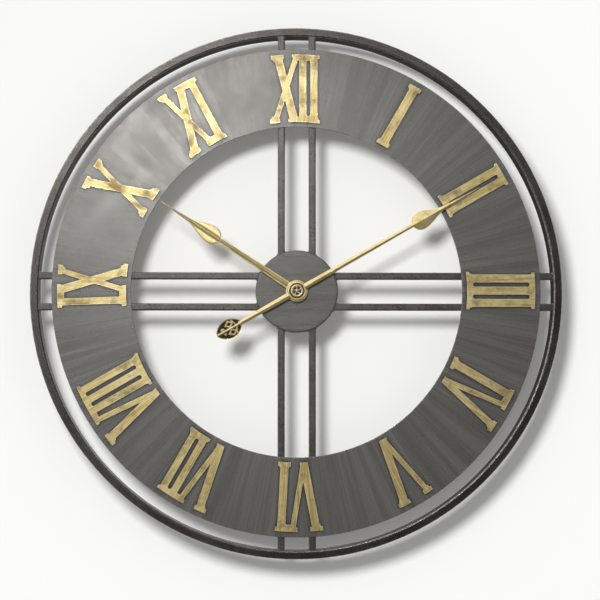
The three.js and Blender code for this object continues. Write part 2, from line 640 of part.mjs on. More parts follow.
function addCase() {
  const { side, depth, wall } = movement;
  const half = side / 2;
  const inside = half - wall;
  const [front, back] = [depthIn(0), depthIn(depth)];
  const bridgeFront = depthIn(layer.bridge - seat);
  const shell = cut(
    solid(block(-half, -half, half, half, back, front)),
    block(-inside, bayTop + wall, inside, inside, back - 1, front - wall),
    block(-inside, -inside, inside, bayTop, back - 1, front - wall),
    disc(bushingRadius + gap, front - 2 * wall, front + 1, 24),
  );
  const raised = posts.flatMap((p) => [
    at(disc(post.radius, bridgeFront, front - wall / 2, 8), p),
    at(disc(post.pinRadius, bridgeFront - bridgeThickness - seat, bridgeFront + 1, 8), p),
  ]);
  const motionStud = at(arbor(stud.radius, wall / 2, wall + stud.height), place.motion);
  const holes = [["third", pivot.bore], ["fifth", pivot.bore], ["rotor", pivot.bore],
    ["knob", knob.pinionPivot + collet.fit]].map(([name, radius]) =>
    at(arbor(radius, wall - pivot.depth, wall + 1), place[name]));
  const body = cut([...raised, motionStud].map(solid).reduce((a, b) => a.add(b), shell), ...holes);
  add("movement_case", geometryOf(body), finish.blackPlastic);
}

// The threaded bushing is pressed through the case's front, and takes the nut that clamps the movement.
function addBushing() {
  const inner = depthIn(movement.wall) - seat;
  const back = inner - bushing.flangeThickness;
  const flange = bushingRadius + bushing.flange;
  add("shaft_bushing", turned([
    [bushingBore, back], [flange, back], [flange, inner], [bushingRadius, inner],
    [bushingRadius, bushingFront], [bushingBore, bushingFront],
  ]), finish.brass);
}

function addMounting() {
  const hole = bushingRadius + mountNut.fit;
  add("case_gasket", ring(bushingRadius + gap, bushingRadius + gasket.wall, caseFront + seat, cupInside - seat, 16),
    finish.rubber);
  add("mounting_washer", ring(hole, bushingRadius + washer.wall, washerBack, washerFront, 16), finish.brass);
  const corner = ((bushingRadius + mountNut.wall) * 2) / Math.sqrt(3);
  const hexagon = outline(Array.from({ length: 6 }, (_, i) => polar(corner, i * 60)));
  add("mounting_nut", geometryOf(cut(
    solid(plate(hexagon, nutBack, nutFront)), disc(hole, nutBack - 1, nutFront + 1, 24),
  )), finish.brass);
}

// The bridge carries the back pivots, and sits on the case's posts.
function addBridge() {
  const shape = outline([
    [-26, 10.5], [-26, 15.5], [-21, 15.5], [-12, 13.5], [18, 14.5], [26, 15], [26, 9], [18, -2],
    [17.6, -10.2], [12.4, -10.2], [6, -5], [-6, -5], [-17, -10.2], [-22.6, -10.2], [-22.6, -5.5], [-15, 3],
  ]);
  const [front, back] = [depthIn(layer.bridge), depthIn(layer.bridge + bridgeThickness)];
  const holes = [...["third", "fifth", "rotor", "centre"].map((name) => [pivot.bore, place[name]]),
    [knob.shaft + 0.3, place.knob],
    ...posts.map((p) => [post.pinRadius + collet.fit, p])];
  const body = cut(solid(plate(shape, back, front)),
    ...holes.map(([radius, p]) => at(disc(radius, back - 1, front + 1, 8), p)));
  add("train_bridge", geometryOf(body), finish.whitePlastic);
}

// The coil lies across the top of the case. Its core is joined by the stator, which rings the rotor.
const coil = { from: -16, to: 2, height: 21.5, core: 0.8, winding: 2.5, flange: 3.1, cheek: 0.9, end: 5.4 };

function addMotor() {
  const { from, to, height, core, winding, flange, cheek, end } = coil;
  const depth = layer.stator - core - seat; // the stator lies on the core's ends
  const spool = (points, sides) =>
    turned(points.map(([r, x]) => [r, -x]), sides).rotateZ(-Math.PI / 2).translate(0, -depthIn(depth), height);
  const bore = core * Math.SQRT2 + 0.2;
  const barrel = bore + 0.5;
  add("coil_bobbin", spool([
    [bore, from - cheek], [flange, from - cheek], [flange, from], [barrel, from], [barrel, to], [flange, to],
    [flange, to + cheek], [bore, to + cheek],
  ], 16), finish.blackPlastic);
  add("coil_winding", spool([
    [barrel + seat, from + seat], [winding, from + seat], [winding, to - seat], [barrel + seat, to - seat],
  ], 16), finish.copper);
  const [left, right] = [from - end, to + end];
  add("coil_core", block(left, height - core, right, height + core, depthIn(depth + core), depthIn(depth - core)),
    finish.zinc);
  const [rx, rz] = place.rotor;
  const [pole, leg, top] = [rotorMagnet.radius + 3, 3.6, height + core];
  const below = height - flange - gap;
  const shape = outline([
    [left, top], [left, rz + 3.4], [left + leg, rz + 1.8], [rx - pole - 1.5, rz + 1.8], [rx - pole, rz - 3],
    [rx - 2, rz - pole], [rx + 2, rz - pole], [rx + pole, rz - 2], [rx + pole, rz + 2.4], [rx + 2, rz + pole + 0.6],
    [right, below], [right, top], [right - leg, top], [right - leg, below - 2], [left + leg, below - 1],
    [left + leg, top],
  ]);
  const [front, back] = [depthIn(layer.stator), depthIn(layer.stator + 1)];
  const hole = at(disc(rotorMagnet.radius + 0.5, back - 1, front + 1, 12), place.rotor);
  add("stator", geometryOf(cut(solid(plate(shape, back, front)), hole)), finish.zinc);
}

// The circuit board lies behind the coil, with its crystal can beside the chip.
const board = { x0: -22, x1: 12, z0: 18.2, z1: 26, depth: 13.2, thickness: 0.8 };

function addBoard() {
  const { x0, x1, z0, z1, depth, thickness } = board;
  add("circuit_board", block(x0, z0, x1, z1, depthIn(depth + thickness), depthIn(depth)), finish.board);
  const can = turned([[0, 0], [0.75, 0], [0.75, 5], [0, 5]], 12).rotateZ(Math.PI / 2);
  const canX = x1 - 9;
  add("quartz_crystal", can.translate(canX + 5, -depthIn(depth + thickness + 0.75 + seat), z0 + 2), finish.zinc);
}

// An AA cell and the two strips that touch its ends.
function addBattery() {
  const { radius, body, nub, nubRadius } = battery;
  const half = movement.side / 2 - movement.wall;
  const floor = depthIn(movement.wall) - seat;
  const [axisZ, axisStandoff] = [(bayTop - half) / 2, floor - radius - 0.2];
  const start = -body / 2 - nub / 2;
  const cell = turned([
    [0, start], [radius, start], [radius, start + body], [nubRadius, start + body],
    [nubRadius, start + body + nub], [0, start + body + nub],
  ], 20).rotateZ(Math.PI / 2);
  add("battery", cell.translate(0, -axisStandoff, axisZ), finish.jacket);
  const strip = { half: 3.2, thickness: 0.4 };
  const contact = (name, x, end) => {
    const reach = end - x;
    const shape = outline([
      [x, axisZ - strip.half], [x + Math.sign(reach) * strip.thickness, axisZ - strip.half],
      [end, axisZ], [x + Math.sign(reach) * strip.thickness, axisZ + strip.half], [x, axisZ + strip.half],
    ]);
    add(name, plate(shape, axisStandoff - strip.half, axisStandoff + strip.half), finish.zinc);
  };
  contact("battery_contact_plus", -(half - seat), -(body / 2 + nub / 2) - seat);
  contact("battery_contact_minus", half - seat, body / 2 + nub / 2 + seat);
}

function addCover() {
  const { side, depth, cover } = movement;
  const half = side / 2;
  const back = depthIn(depth + cover + seat);
  const shell = solid(block(-half, bayTop, half, half, back, depthIn(depth + seat)));
  const hole = at(disc(knob.shaft + 0.3, back - 1, back + cover + 1, 20), place.knob);
  add("movement_cover", geometryOf(cut(shell, hole)), finish.blackPlastic);
}

addRim();
addSpokes();
addDialRing();
addCup();
addHanger();
addNumerals();
addHourHand();
addMinuteHand();
addCollet("hour_hand_collet", hourRadius, hourBack, hourFront);
addCollet("minute_hand_collet", minuteRadius, minuteBack, minuteFront);
addHandNut();
addCase();
addBushing();
addMounting();
addTrain();
addKnob();
addBridge();
addMotor();
addBoard();
addBattery();
addCover();

export default nail;
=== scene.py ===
import json
import math

import bmesh
import bpy
import numpy as np
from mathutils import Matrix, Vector


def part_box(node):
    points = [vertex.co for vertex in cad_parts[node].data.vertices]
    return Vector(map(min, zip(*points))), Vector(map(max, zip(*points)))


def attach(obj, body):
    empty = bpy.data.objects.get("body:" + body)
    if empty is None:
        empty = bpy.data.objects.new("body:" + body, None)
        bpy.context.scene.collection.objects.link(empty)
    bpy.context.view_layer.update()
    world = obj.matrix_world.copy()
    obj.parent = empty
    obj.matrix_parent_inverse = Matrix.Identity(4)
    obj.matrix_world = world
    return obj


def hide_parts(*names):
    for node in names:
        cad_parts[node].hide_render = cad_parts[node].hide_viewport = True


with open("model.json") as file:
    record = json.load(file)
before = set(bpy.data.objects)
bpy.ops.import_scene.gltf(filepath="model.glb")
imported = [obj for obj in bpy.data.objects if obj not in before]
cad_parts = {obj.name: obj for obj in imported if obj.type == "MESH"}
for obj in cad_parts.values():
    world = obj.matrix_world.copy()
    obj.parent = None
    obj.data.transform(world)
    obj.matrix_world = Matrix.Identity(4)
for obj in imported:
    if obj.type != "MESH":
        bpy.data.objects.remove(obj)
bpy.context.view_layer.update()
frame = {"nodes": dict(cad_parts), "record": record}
nodes = frame["nodes"]
mm = 0.001


def nodeBox(name):
    # lowest and highest corner of a CAD node, in millimetres
    low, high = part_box(name)
    return np.array(low) / mm, np.array(high) / mm


cupLow, cupHigh = nodeBox("centre_cup")
batteryLow, batteryHigh = nodeBox("battery")
axis = np.array([(cupLow[0] + cupHigh[0]) / 2, 0.0, (cupLow[2] + cupHigh[2]) / 2])


def onceRound(count):
    # equal steps once round, as a column
    return np.linspace(0, 2 * np.pi, count, endpoint=False)[:, None]


def placed(x, standoff, z):
    # arrays of x, standoff and z round the clock's axis, as points in the frame
    x, standoff, z = np.broadcast_arrays(x, standoff, z)
    return np.stack([x, -standoff, z], -1).reshape(-1, 3) + axis


def aroundAxis(name):
    # a CAD node's points as distance from the clock's axis, and standoff
    mesh = nodes[name].data
    co = np.zeros(len(mesh.vertices) * 3)
    mesh.vertices.foreach_get("co", co)
    co = co.reshape(-1, 3) / mm - axis
    return np.hypot(co[:, 0], co[:, 2]), -co[:, 1]


# ---- meshes ----
def gridFaces(rows, columns, wrapRows=False, wrapColumns=False):
    # quads of a grid of points that are numbered row by row
    i, j = np.meshgrid(
        np.arange(rows if wrapRows else rows - 1),
        np.arange(columns if wrapColumns else columns - 1), indexing="ij")
    nextRow, nextColumn = (i + 1) % rows, (j + 1) % columns
    quads = [i * columns + j, nextRow * columns + j,
             nextRow * columns + nextColumn, i * columns + nextColumn]
    return np.stack(quads, -1).reshape(-1, 4).tolist()


def tube(points, rows, columns):
    # a grid of points whose rows are closed sections, with a flat cap at each end
    caps = [list(range(columns)), list(range((rows - 1) * columns, rows * columns))]
    return points, gridFaces(rows, columns, False, True) + caps


def buildPiece(name, parts, body, node, slotName, sharp=32, material=None):
    # Each part is (points, faces), or (points, faces, and a darkness for each point): real patina in sunk
    # places,
    #     # and painted shade on the rim's inner wall and behind the finial's openings. A part's faces count
    #     from its own first point.
    points, faces, hollowsAndShade, start = [], [], [], 0
    for partPoints, partFaces, *hollowAndShade in parts:
        points.append(partPoints)
        faces += [[k + start for k in face] for face in partFaces]
        hollowsAndShade += hollowAndShade
        start += len(partPoints)
    mesh = bpy.data.meshes.new(name)
    mesh.from_pydata((np.concatenate(points) * mm).tolist(), [], faces)
    if hollowsAndShade:
        layer = mesh.attributes.new("recess", "FLOAT", "POINT")
        layer.data.foreach_set("value", np.concatenate(hollowsAndShade).astype(np.float32))
    cleanMesh(mesh, 2e-7)
    return finishPiece(name, mesh, body, node, slotName, sharp, material)


def cleanMesh(mesh, distance, flat=None):
    # closes seams and poles, then turns every face outwards
    work = bmesh.new()
    work.from_mesh(mesh)
    bmesh.ops.remove_doubles(work, verts=work.verts, dist=distance)
    if flat is not None:
        bmesh.ops.dissolve_limit(
            work, angle_limit=flat, verts=work.verts, edges=work.edges, delimit=set())
    bmesh.ops.recalc_face_normals(work, faces=work.faces)
    work.to_mesh(mesh)
    work.free()


def addObject(name, data):
    made = bpy.data.objects.new(name, data)
    bpy.context.scene.collection.objects.link(made)
    return made


def finishPiece(name, mesh, body, node, slotName, sharp=32, material=None):
    # the finish is the slot's own, unless another one is given
    mesh.materials.clear()
    mesh.materials.append(material or slotMaterials[slotName])
    mesh.shade_smooth()
    mesh.set_sharp_from_angle(angle=math.radians(sharp))
    piece = addObject(name, mesh)
    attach(piece, body)
    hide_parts(node)
    return piece


roundedEdge = dict(segments=2, angle=25, flat=0.5)  # angle and flat are in degrees


def bevelledCopy(name, node, body, slotName, width):
    # a CAD node's own shape, merged, its flat faces joined, with rounded edges
    mesh = nodes[node].data.copy()
    mesh.name = name
    cleanMesh(mesh, 1e-6, flat=math.radians(roundedEdge["flat"]))
    piece = finishPiece(name, mesh, body, node, slotName)
    bevel = piece.modifiers.new("edges", "BEVEL")
    bevel.width = width * mm
    bevel.segments = roundedEdge["segments"]
    bevel.limit_method = "ANGLE"
    bevel.angle_limit = math.radians(roundedEdge["angle"])
    bevel.harden_normals = True
    bevel.miter_outer = "MITER_ARC"
    return piece


def roundedOutline(corners, cuts, steps=6, hold=0.0):
    # Each corner of a closed outline becomes a parabola that leaves one side a cut's length before
    # the corner and meets the next side as far past it. hold adds a point that share of a cut
    # further out on each side, which keeps the flats flat in smooth shading.
    corners = np.array(corners, float)
    cuts = np.broadcast_to(np.array(cuts, float), len(corners))[:, None, None]
    before = np.roll(corners, 1, 0) - corners
    after = np.roll(corners, -1, 0) - corners
    before /= np.linalg.norm(before, axis=1, keepdims=True)
    after /= np.linalg.norm(after, axis=1, keepdims=True)
    u = np.linspace(0, 1, steps)[None, :, None]
    p = corners[:, None, :]
    bend = p + before[:, None] * cuts * (1 - u) ** 2 + after[:, None] * cuts * u ** 2
    if hold:
        bend = np.concatenate([
            p + before[:, None] * cuts * (1 + hold), bend, p + after[:, None] * cuts * (1 + hold)], 1)
    return bend.reshape(-1, 2)


def revolved(outline, sides, wave=None):
    # A closed outline of (radius, standoff) turned about the clock's axis: at angle a a point of
    # radius r goes to (r sin a, r cos a). wave moves the points first, by angle, radius and standoff.
    a = onceRound(sides)
    r, standoff = outline[:, 0][None, :], outline[:, 1][None, :]
    if wave is not None:
        r, standoff = wave(a, r, standoff)
    points = placed(r * np.sin(a), standoff + 0 * a, r * np.cos(a))
    return points, gridFaces(sides, len(outline), True, True)


# ---- materials ----
def tint(red, green, blue):
    # screen values from 0 to 255, as a linear colour
    c = np.array([red, green, blue]) / 255
    linear = np.where(c <= 0.04045, c / 12.92, ((c + 0.055) / 1.055) ** 2.4)
    return (*linear.tolist(), 1.0)


def addNode(tree, kind, inputs=None, **settings):
    made = tree.nodes.new(kind)
    for key, value in settings.items():
        setattr(made, key, value)
    for key, value in (inputs or {}).items():
        if isinstance(value, bpy.types.NodeSocket):
            tree.links.new(value, made.inputs[key])
        else:
            made.inputs[key].default_value = value
    return made


def calc(tree, operation, a, b=0.0, clamp=False):
    made = addNode(tree, "ShaderNodeMath", {0: a, 1: b}, operation=operation, use_clamp=clamp)
    return made.outputs[0]


def times(tree, a, b):
    return calc(tree, "MULTIPLY", a, b)


def plus(tree, a, b):
    return calc(tree, "ADD", a, b)


def minus(tree, a, b):
    return calc(tree, "SUBTRACT", a, b)


def objectPlace(tree):
    return addNode(tree, "ShaderNodeTexCoord").outputs["Object"]


def spread(tree, value, low, high, newLow=0.0, newHigh=1.0):
    # moves a value from one range to another, smoothly and without leaving it
    made = addNode(tree, "ShaderNodeMapRange", {
        "Value": value, "From Min": low, "From Max": high, "To Min": newLow, "To Max": newHigh},
        interpolation_type="SMOOTHSTEP")
    return made.outputs["Result"]


def blendColour(tree, share, a, b):
    return addNode(tree, "ShaderNodeMix", {0: share, 6: a, 7: b}, data_type="RGBA").outputs[2]


def layered(tree, colour, layers):
    # lays colours over one another in turn, each through its mask and as the share of it given
    for mask, share, over in layers:
        colour = blendColour(tree, mask if share == 1 else times(tree, mask, share), colour, over)
    return colour


def startGroup(name, inputs, output):
    # inputs maps a socket's name to its default, and output names the one value that comes out
    group = bpy.data.node_groups.new(name, "ShaderNodeTree")
    for socket, value in inputs.items():
        kind = "NodeSocketVector" if isinstance(value, tuple) else "NodeSocketFloat"
        made = group.interface.new_socket(socket, in_out="INPUT", socket_type=kind)
        made.default_value = value
    group.interface.new_socket(output, in_out="OUTPUT", socket_type="NodeSocketFloat")
    return group, group.nodes.new("NodeGroupInput").outputs


def endGroup(group, value):
    addNode(group, "NodeGroupOutput", {0: value})
    return group


def useGroup(tree, group, **inputs):
    # each group has one output
    made = tree.nodes.new("ShaderNodeGroup")
    made.node_tree = group
    for key, value in inputs.items():
        name = key[0].upper() + key[1:]
        if isinstance(value, bpy.types.NodeSocket):
            tree.links.new(value, made.inputs[name])
        else:
            made.inputs[name].default_value = value
    return made.outputs[0]


def noise(tree, vector, scale, detail=3.0, roughness=0.55, distortion=0.0):
    made = addNode(tree, "ShaderNodeTexNoise", {
        "Vector": vector, "Scale": scale, "Detail": detail, "Roughness": roughness, "Distortion": distortion})
    return made.outputs["Fac"]


def makeGrain():
    # straight grain: noise stretched by its own scale along x, y and z
    group, given = startGroup("straightGrain", {"Stretch": (1.0, 1.0, 1.0), "Detail": 4.0}, "Grain")
    place = objectPlace(group)
    stretched = addNode(group, "ShaderNodeVectorMath", {0: place, 1: given["Stretch"]},
                        operation="MULTIPLY").outputs[0]
    grain = noise(group, stretched, 1.0, given["Detail"], 0.6)
    return endGroup(group, spread(group, grain, 0.3, 0.7))


def makeRadialGrain():
    # grain that runs out from the clock's axis: noise over (angle x Around, radius x Along)
    group, given = startGroup("radialGrain", {"Around": 60.0, "Along": 8.0, "Depth": 20.0}, "Grain")
    moved = addNode(group, "ShaderNodeVectorMath", {0: objectPlace(group), 1: tuple(-axis * mm)},
                    operation="ADD").outputs[0]
    x, y, z = addNode(group, "ShaderNodeSeparateXYZ", {0: moved}).outputs
    radius = calc(group, "SQRT", plus(group, times(group, x, x), times(group, z, z)))
    # the direction is read from a circle, so that the pattern has no seam
    turnX = times(group, calc(group, "DIVIDE", x, radius), given["Around"])
    turnZ = times(group, calc(group, "DIVIDE", z, radius), given["Around"])
    along = times(group, radius, given["Along"])
    depth = times(group, y, given["Depth"])
    joined = addNode(group, "ShaderNodeCombineXYZ", {0: turnX, 1: turnZ, 2: plus(group, along, depth)})
    grain = noise(group, joined.outputs[0], 1.0, 4.0, 0.6)
    return endGroup(group, spread(group, grain, 0.3, 0.7))


def makeMottle():
    # soft patches of two sizes; Cover is how much of the surface they take
    group, given = startGroup("mottle", {"Scale": 60.0, "Cover": 0.5, "Softness": 0.12}, "Patch")
    place = objectPlace(group)
    large = noise(group, place, given["Scale"], 5.0, 0.62, 0.4)
    small = noise(group, place, times(group, given["Scale"], 6.0), 3.0, 0.6)
    both = plus(group, times(group, large, 0.72), times(group, small, 0.28))
    edge = minus(group, 0.72, times(group, given["Cover"], 0.44))
    low = minus(group, edge, given["Softness"])
    high = plus(group, edge, given["Softness"])
    return endGroup(group, spread(group, both, low, high))


def makeEdgeWear():
    # rubbed edges: how far the surface's direction turns within Radius, broken up by noise
    group, given = startGroup("edgeWear", {"Radius": 0.0008, "Broken": 250.0, "Amount": 1.0}, "Wear")
    rounded = addNode(group, "ShaderNodeBevel", {"Radius": given["Radius"]}, samples=4)
    facing = addNode(group, "ShaderNodeNewGeometry").outputs["Normal"]
    same = addNode(group, "ShaderNodeVectorMath", {0: rounded.outputs[0], 1: facing}, operation="DOT_PRODUCT")
    turn = minus(group, 1.0, same.outputs["Value"])
    place = objectPlace(group)
    broken = spread(group, noise(group, place, given["Broken"], 3.0), 0.35, 0.62, 0.35, 1.0)
    strength = times(group, times(group, turn, 14.0), broken)
    worn = calc(group, "MULTIPLY", strength, given["Amount"], clamp=True)
    return endGroup(group, worn)


def makeSpecks():
    # small separate dots, a share of the cells of a fine cell pattern
    group, given = startGroup("specks", {"Scale": 700.0, "Amount": 0.1}, "Speck")
    place = objectPlace(group)
    cells = addNode(group, "ShaderNodeTexVoronoi", {"Vector": place, "Scale": given["Scale"]})
    chosen = addNode(group, "ShaderNodeSeparateColor", {0: cells.outputs["Color"]}).outputs[0]
    taken = calc(group, "LESS_THAN", chosen, given["Amount"])
    dot = spread(group, cells.outputs["Distance"], 0.38, 0.12)
    return endGroup(group, times(group, taken, dot))


print("shader groups")
straightGrain, radialGrain, mottle = makeGrain(), makeRadialGrain(), makeMottle()
edgeWear, specks = makeEdgeWear(), makeSpecks()


def startMaterial(name, metallic, coat=0.0, specular=0.5):
    material = bpy.data.materials.new(name)
    material.use_nodes = True
    tree = material.node_tree
    shader = tree.nodes["Principled BSDF"]
    shader.inputs["Metallic"].default_value = metallic
    shader.inputs["Coat Weight"].default_value = coat
    shader.inputs["Specular IOR Level"].default_value = specular
    return material, tree, shader


def connect(tree, shader, colour, rough, height, strength, distance):
    bump = addNode(tree, "ShaderNodeBump", {"Strength": strength, "Distance": distance, "Height": height})
    tree.links.new(colour, shader.inputs["Base Color"])
    tree.links.new(rough, shader.inputs["Roughness"])
    tree.links.new(bump.outputs[0], shader.inputs["Normal"])


def dullHollowAndShade(tree, shader, hollowAndShade, metal):
    # sunk places hold patina and waxing, so they are less metallic than the face; the painted shade on the
    # rim's inner wall and behind the finial's openings is dulled the same way
    tree.links.new(minus(tree, metal, times(tree, hollowAndShade, 0.9 * metal)), shader.inputs["Metallic"])


def brushedIron(name, look):
    # dark waxed iron: grain, cloudy patches, small warm specks, rubbed edges, painted shade next to raised
    # parts, and painted shade on the rim's inner wall
    material, tree, shader = startMaterial(name, 1.0)
    if look["radial"]:
        around, along = look["around"], look["along"]
        fine = useGroup(tree, radialGrain, around=around, along=along, depth=30.0)
        broad = useGroup(tree, radialGrain, around=around * 0.12, along=along * 0.5, depth=9.0)
    else:
        fine = useGroup(tree, straightGrain, stretch=look["stretch"], detail=4.0)
        broad = useGroup(tree, straightGrain, stretch=tuple(0.14 * s for s in look["stretch"]), detail=3.0)
    cloud = useGroup(tree, mottle, scale=look["cloud"], cover=0.5, softness=0.2)
    wear = useGroup(tree, edgeWear, radius=look["edge"], broken=220.0, amount=look["wear"])
    speck = useGroup(tree, specks, scale=620.0, amount=0.035)
    # recess carries the painted shade on the rim's inner wall; no other iron piece has it
    hollowAndShade = addNode(tree, "ShaderNodeAttribute", attribute_name="recess").outputs["Fac"]
    stipple = spread(tree, noise(tree, objectPlace(tree), 1100.0, 2.0), 0.3, 0.7)
    grain = plus(tree, times(tree, fine, 0.2), times(tree, broad, 0.45))
    grain = plus(tree, grain, times(tree, stipple, 0.35))
    # painted shade: ambient occlusion darkens the iron next to raised parts such as the numerals, and inside
    # their slots
    occlusionShade = addNode(tree, "ShaderNodeAmbientOcclusion", {"Distance": look["wax"]}, samples=6).outputs["AO"]
    colour = layered(tree, blendColour(tree, grain, look["dark"], look["light"]), [
        (cloud, 0.35, look["haze"]), (speck, 0.22, tint(176, 148, 104)),
        (spread(tree, occlusionShade, 0.5, 0.93, 1.0, 0.0), look["waxShare"], tint(34, 32, 29)),
        (hollowAndShade, 1, tint(26, 24, 22)), (wear, 1, look["rub"])])
    rough = plus(tree, look["rough"], times(tree, minus(tree, grain, 0.5), 0.12))
    rough = plus(tree, minus(tree, rough, times(tree, wear, 0.12)), times(tree, cloud, 0.05))
    rough = plus(tree, rough, times(tree, hollowAndShade, 0.5))
    height = plus(tree, stipple, times(tree, cloud, 0.8))
    dullHollowAndShade(tree, shader, hollowAndShade, look["metal"])
    connect(tree, shader, colour, rough, height, look["bump"], 0.00006)
    return material


def agedGold(name, look):
    # gilded brass: rubbed high spots, brown film in patches and hollows, painted shade in brown where parts
    # meet, fine brush lines
    material, tree, shader = startMaterial(name, 1.0)
    if look["radial"]:
        lines = useGroup(tree, radialGrain, around=190.0, along=22.0, depth=60.0)
    else:
        lines = useGroup(tree, straightGrain, stretch=(900.0, 900.0, 900.0), detail=3.0)
    film = useGroup(tree, mottle, scale=look["film"], cover=look["cover"], softness=0.1)
    pale = useGroup(tree, mottle, scale=look["film"] * 0.45, cover=0.45, softness=0.16)
    wear = useGroup(tree, edgeWear, radius=look["edge"], broken=260.0, amount=look["wear"])
    # recess carries real patina in sunk places, and painted shade on the sheets behind the finial's openings
    hollowAndShade = addNode(tree, "ShaderNodeAttribute", attribute_name="recess").outputs["Fac"]
    # painted shade: ambient occlusion lays the brown colour into corners where one part stands over another
    occlusionShade = addNode(tree, "ShaderNodeAmbientOcclusion", {"Distance": 0.0035}, samples=4).outputs["AO"]
    corner = spread(tree, occlusionShade, 0.35, 0.9, 1.0, 0.0)
    colour = layered(tree, blendColour(tree, lines, look["base"], look["brushed"]), [
        (pale, 0.55, look["pale"]), (film, look["filmShare"], look["brown"]),
        (corner, 0.75, look["brown"]), (hollowAndShade, 1, look["deep"]), (wear, 1, look["rub"])])
    rough = minus(tree, plus(tree, look["rough"], times(tree, film, 0.12)), times(tree, wear, 0.1))
    rough = plus(tree, plus(tree, rough, times(tree, lines, 0.06)), times(tree, hollowAndShade, 0.4))
    height = plus(tree, lines, times(tree, film, -1.2))
    dullHollowAndShade(tree, shader, hollowAndShade, look["metal"])
    connect(tree, shader, colour, rough, height, look["bump"], 0.0001)
    return material


def plainMetal(name, look):
    # turned or stamped small parts, with turning marks, dull patches and bright edges
    material, tree, shader = startMaterial(name, 1.0)
    marks = useGroup(tree, straightGrain, stretch=look["stretch"], detail=3.0)
    dull = useGroup(tree, mottle, scale=140.0, cover=0.45, softness=0.14)
    wear = useGroup(tree, edgeWear, radius=0.0003, broken=700.0, amount=0.8)
    colour = layered(tree, blendColour(tree, marks, look["dark"], look["light"]),
                     [(dull, 0.4, look["dull"]), (wear, 1, look["rub"])])
    rough = plus(tree, look["rough"], times(tree, dull, 0.16))
    connect(tree, shader, colour, rough, marks, 0.25, 0.00005)
    return material


def mouldedPlastic(name, look):
    # a fine spark-eroded texture, faint flow marks, scuffed edges and settled dust
    material, tree, shader = startMaterial(name, 0.0, specular=look["specular"])
    flow = useGroup(tree, straightGrain, stretch=(60.0, 60.0, 14.0), detail=2.0)
    dust = useGroup(tree, mottle, scale=90.0, cover=0.35, softness=0.18)
    grit = useGroup(tree, straightGrain, stretch=(2600.0, 2600.0, 2600.0), detail=2.0)
    wear = useGroup(tree, edgeWear, radius=0.0004, broken=500.0, amount=0.6)
    colour = layered(tree, blendColour(tree, flow, look["dark"], look["light"]),
                     [(dust, 0.25, look["dust"]), (wear, 1, look["rub"])])
    rough = plus(tree, look["rough"], times(tree, dust, 0.15))
    connect(tree, shader, colour, rough, grit, look["bump"], 0.00006)
    return material


def woundWire():
    # enamelled wire laid side by side along the bobbin, which lies along x
    material, tree, shader = startMaterial("coilWire", 1.0, coat=0.6)
    turns = addNode(tree, "ShaderNodeTexWave", {
        "Vector": objectPlace(tree), "Scale": 520.0, "Distortion": 1.2, "Detail": 1.0, "Detail Scale": 1.5},
        bands_direction="X").outputs["Fac"]
    dull = useGroup(tree, mottle, scale=220.0, cover=0.4, softness=0.15)
    colour = layered(tree, blendColour(tree, turns, tint(96, 42, 20), tint(196, 104, 58)),
                     [(dull, 0.4, tint(120, 58, 34))])
    connect(tree, shader, colour, plus(tree, 0.28, times(tree, dull, 0.2)), turns, 0.6, 0.00008)
    return material


def circuitLaminate():
    # green lacquer over copper tracks, with bare solder pads
    material, tree, shader = startMaterial("boardLacquer", 0.0, coat=0.5)
    cells = addNode(tree, "ShaderNodeTexVoronoi", {"Vector": objectPlace(tree), "Scale": 330.0},
                    distance="CHEBYCHEV").outputs["Distance"]
    track = spread(tree, cells, 0.30, 0.36)
    pad = spread(tree, cells, 0.16, 0.12)
    weave = useGroup(tree, straightGrain, stretch=(1500.0, 1500.0, 1500.0), detail=1.0)
    colour = layered(tree, blendColour(tree, track, tint(34, 84, 44), tint(52, 118, 58)),
                     [(weave, 0.3, tint(24, 62, 34)), (pad, 1, tint(186, 182, 170))])
    rough = plus(tree, 0.3, times(tree, weave, 0.15))
    connect(tree, shader, colour, rough, plus(tree, track, pad), 0.4, 0.00008)
    return material


def cellJacket():
    # printed shrink sleeve: a coloured band at the positive end, scuffed along its length
    material, tree, shader = startMaterial("cellJacket", 0.35, coat=0.4)
    x = addNode(tree, "ShaderNodeSeparateXYZ", {0: objectPlace(tree)}).outputs[0]
    band = spread(tree, x, (batteryHigh[0] - 15.2) * mm, (batteryHigh[0] - 14.8) * mm)
    ends = calc(tree, "MAXIMUM",
                spread(tree, x, (batteryHigh[0] - 2.3) * mm, (batteryHigh[0] - 2.1) * mm),
                spread(tree, x, (batteryLow[0] + 0.7) * mm, (batteryLow[0] + 0.5) * mm))
    scuff = useGroup(tree, straightGrain, stretch=(60.0, 900.0, 900.0), detail=4.0)
    patch = useGroup(tree, mottle, scale=160.0, cover=0.35, softness=0.1)
    colour = layered(tree, blendColour(tree, band, tint(30, 34, 40), tint(176, 120, 52)),
                     [(scuff, 0.25, tint(120, 118, 112)), (ends, 1, tint(188, 188, 184))])
    connect(tree, shader, colour, plus(tree, 0.26, times(tree, patch, 0.25)), scuff, 0.15, 0.00004)
    return material


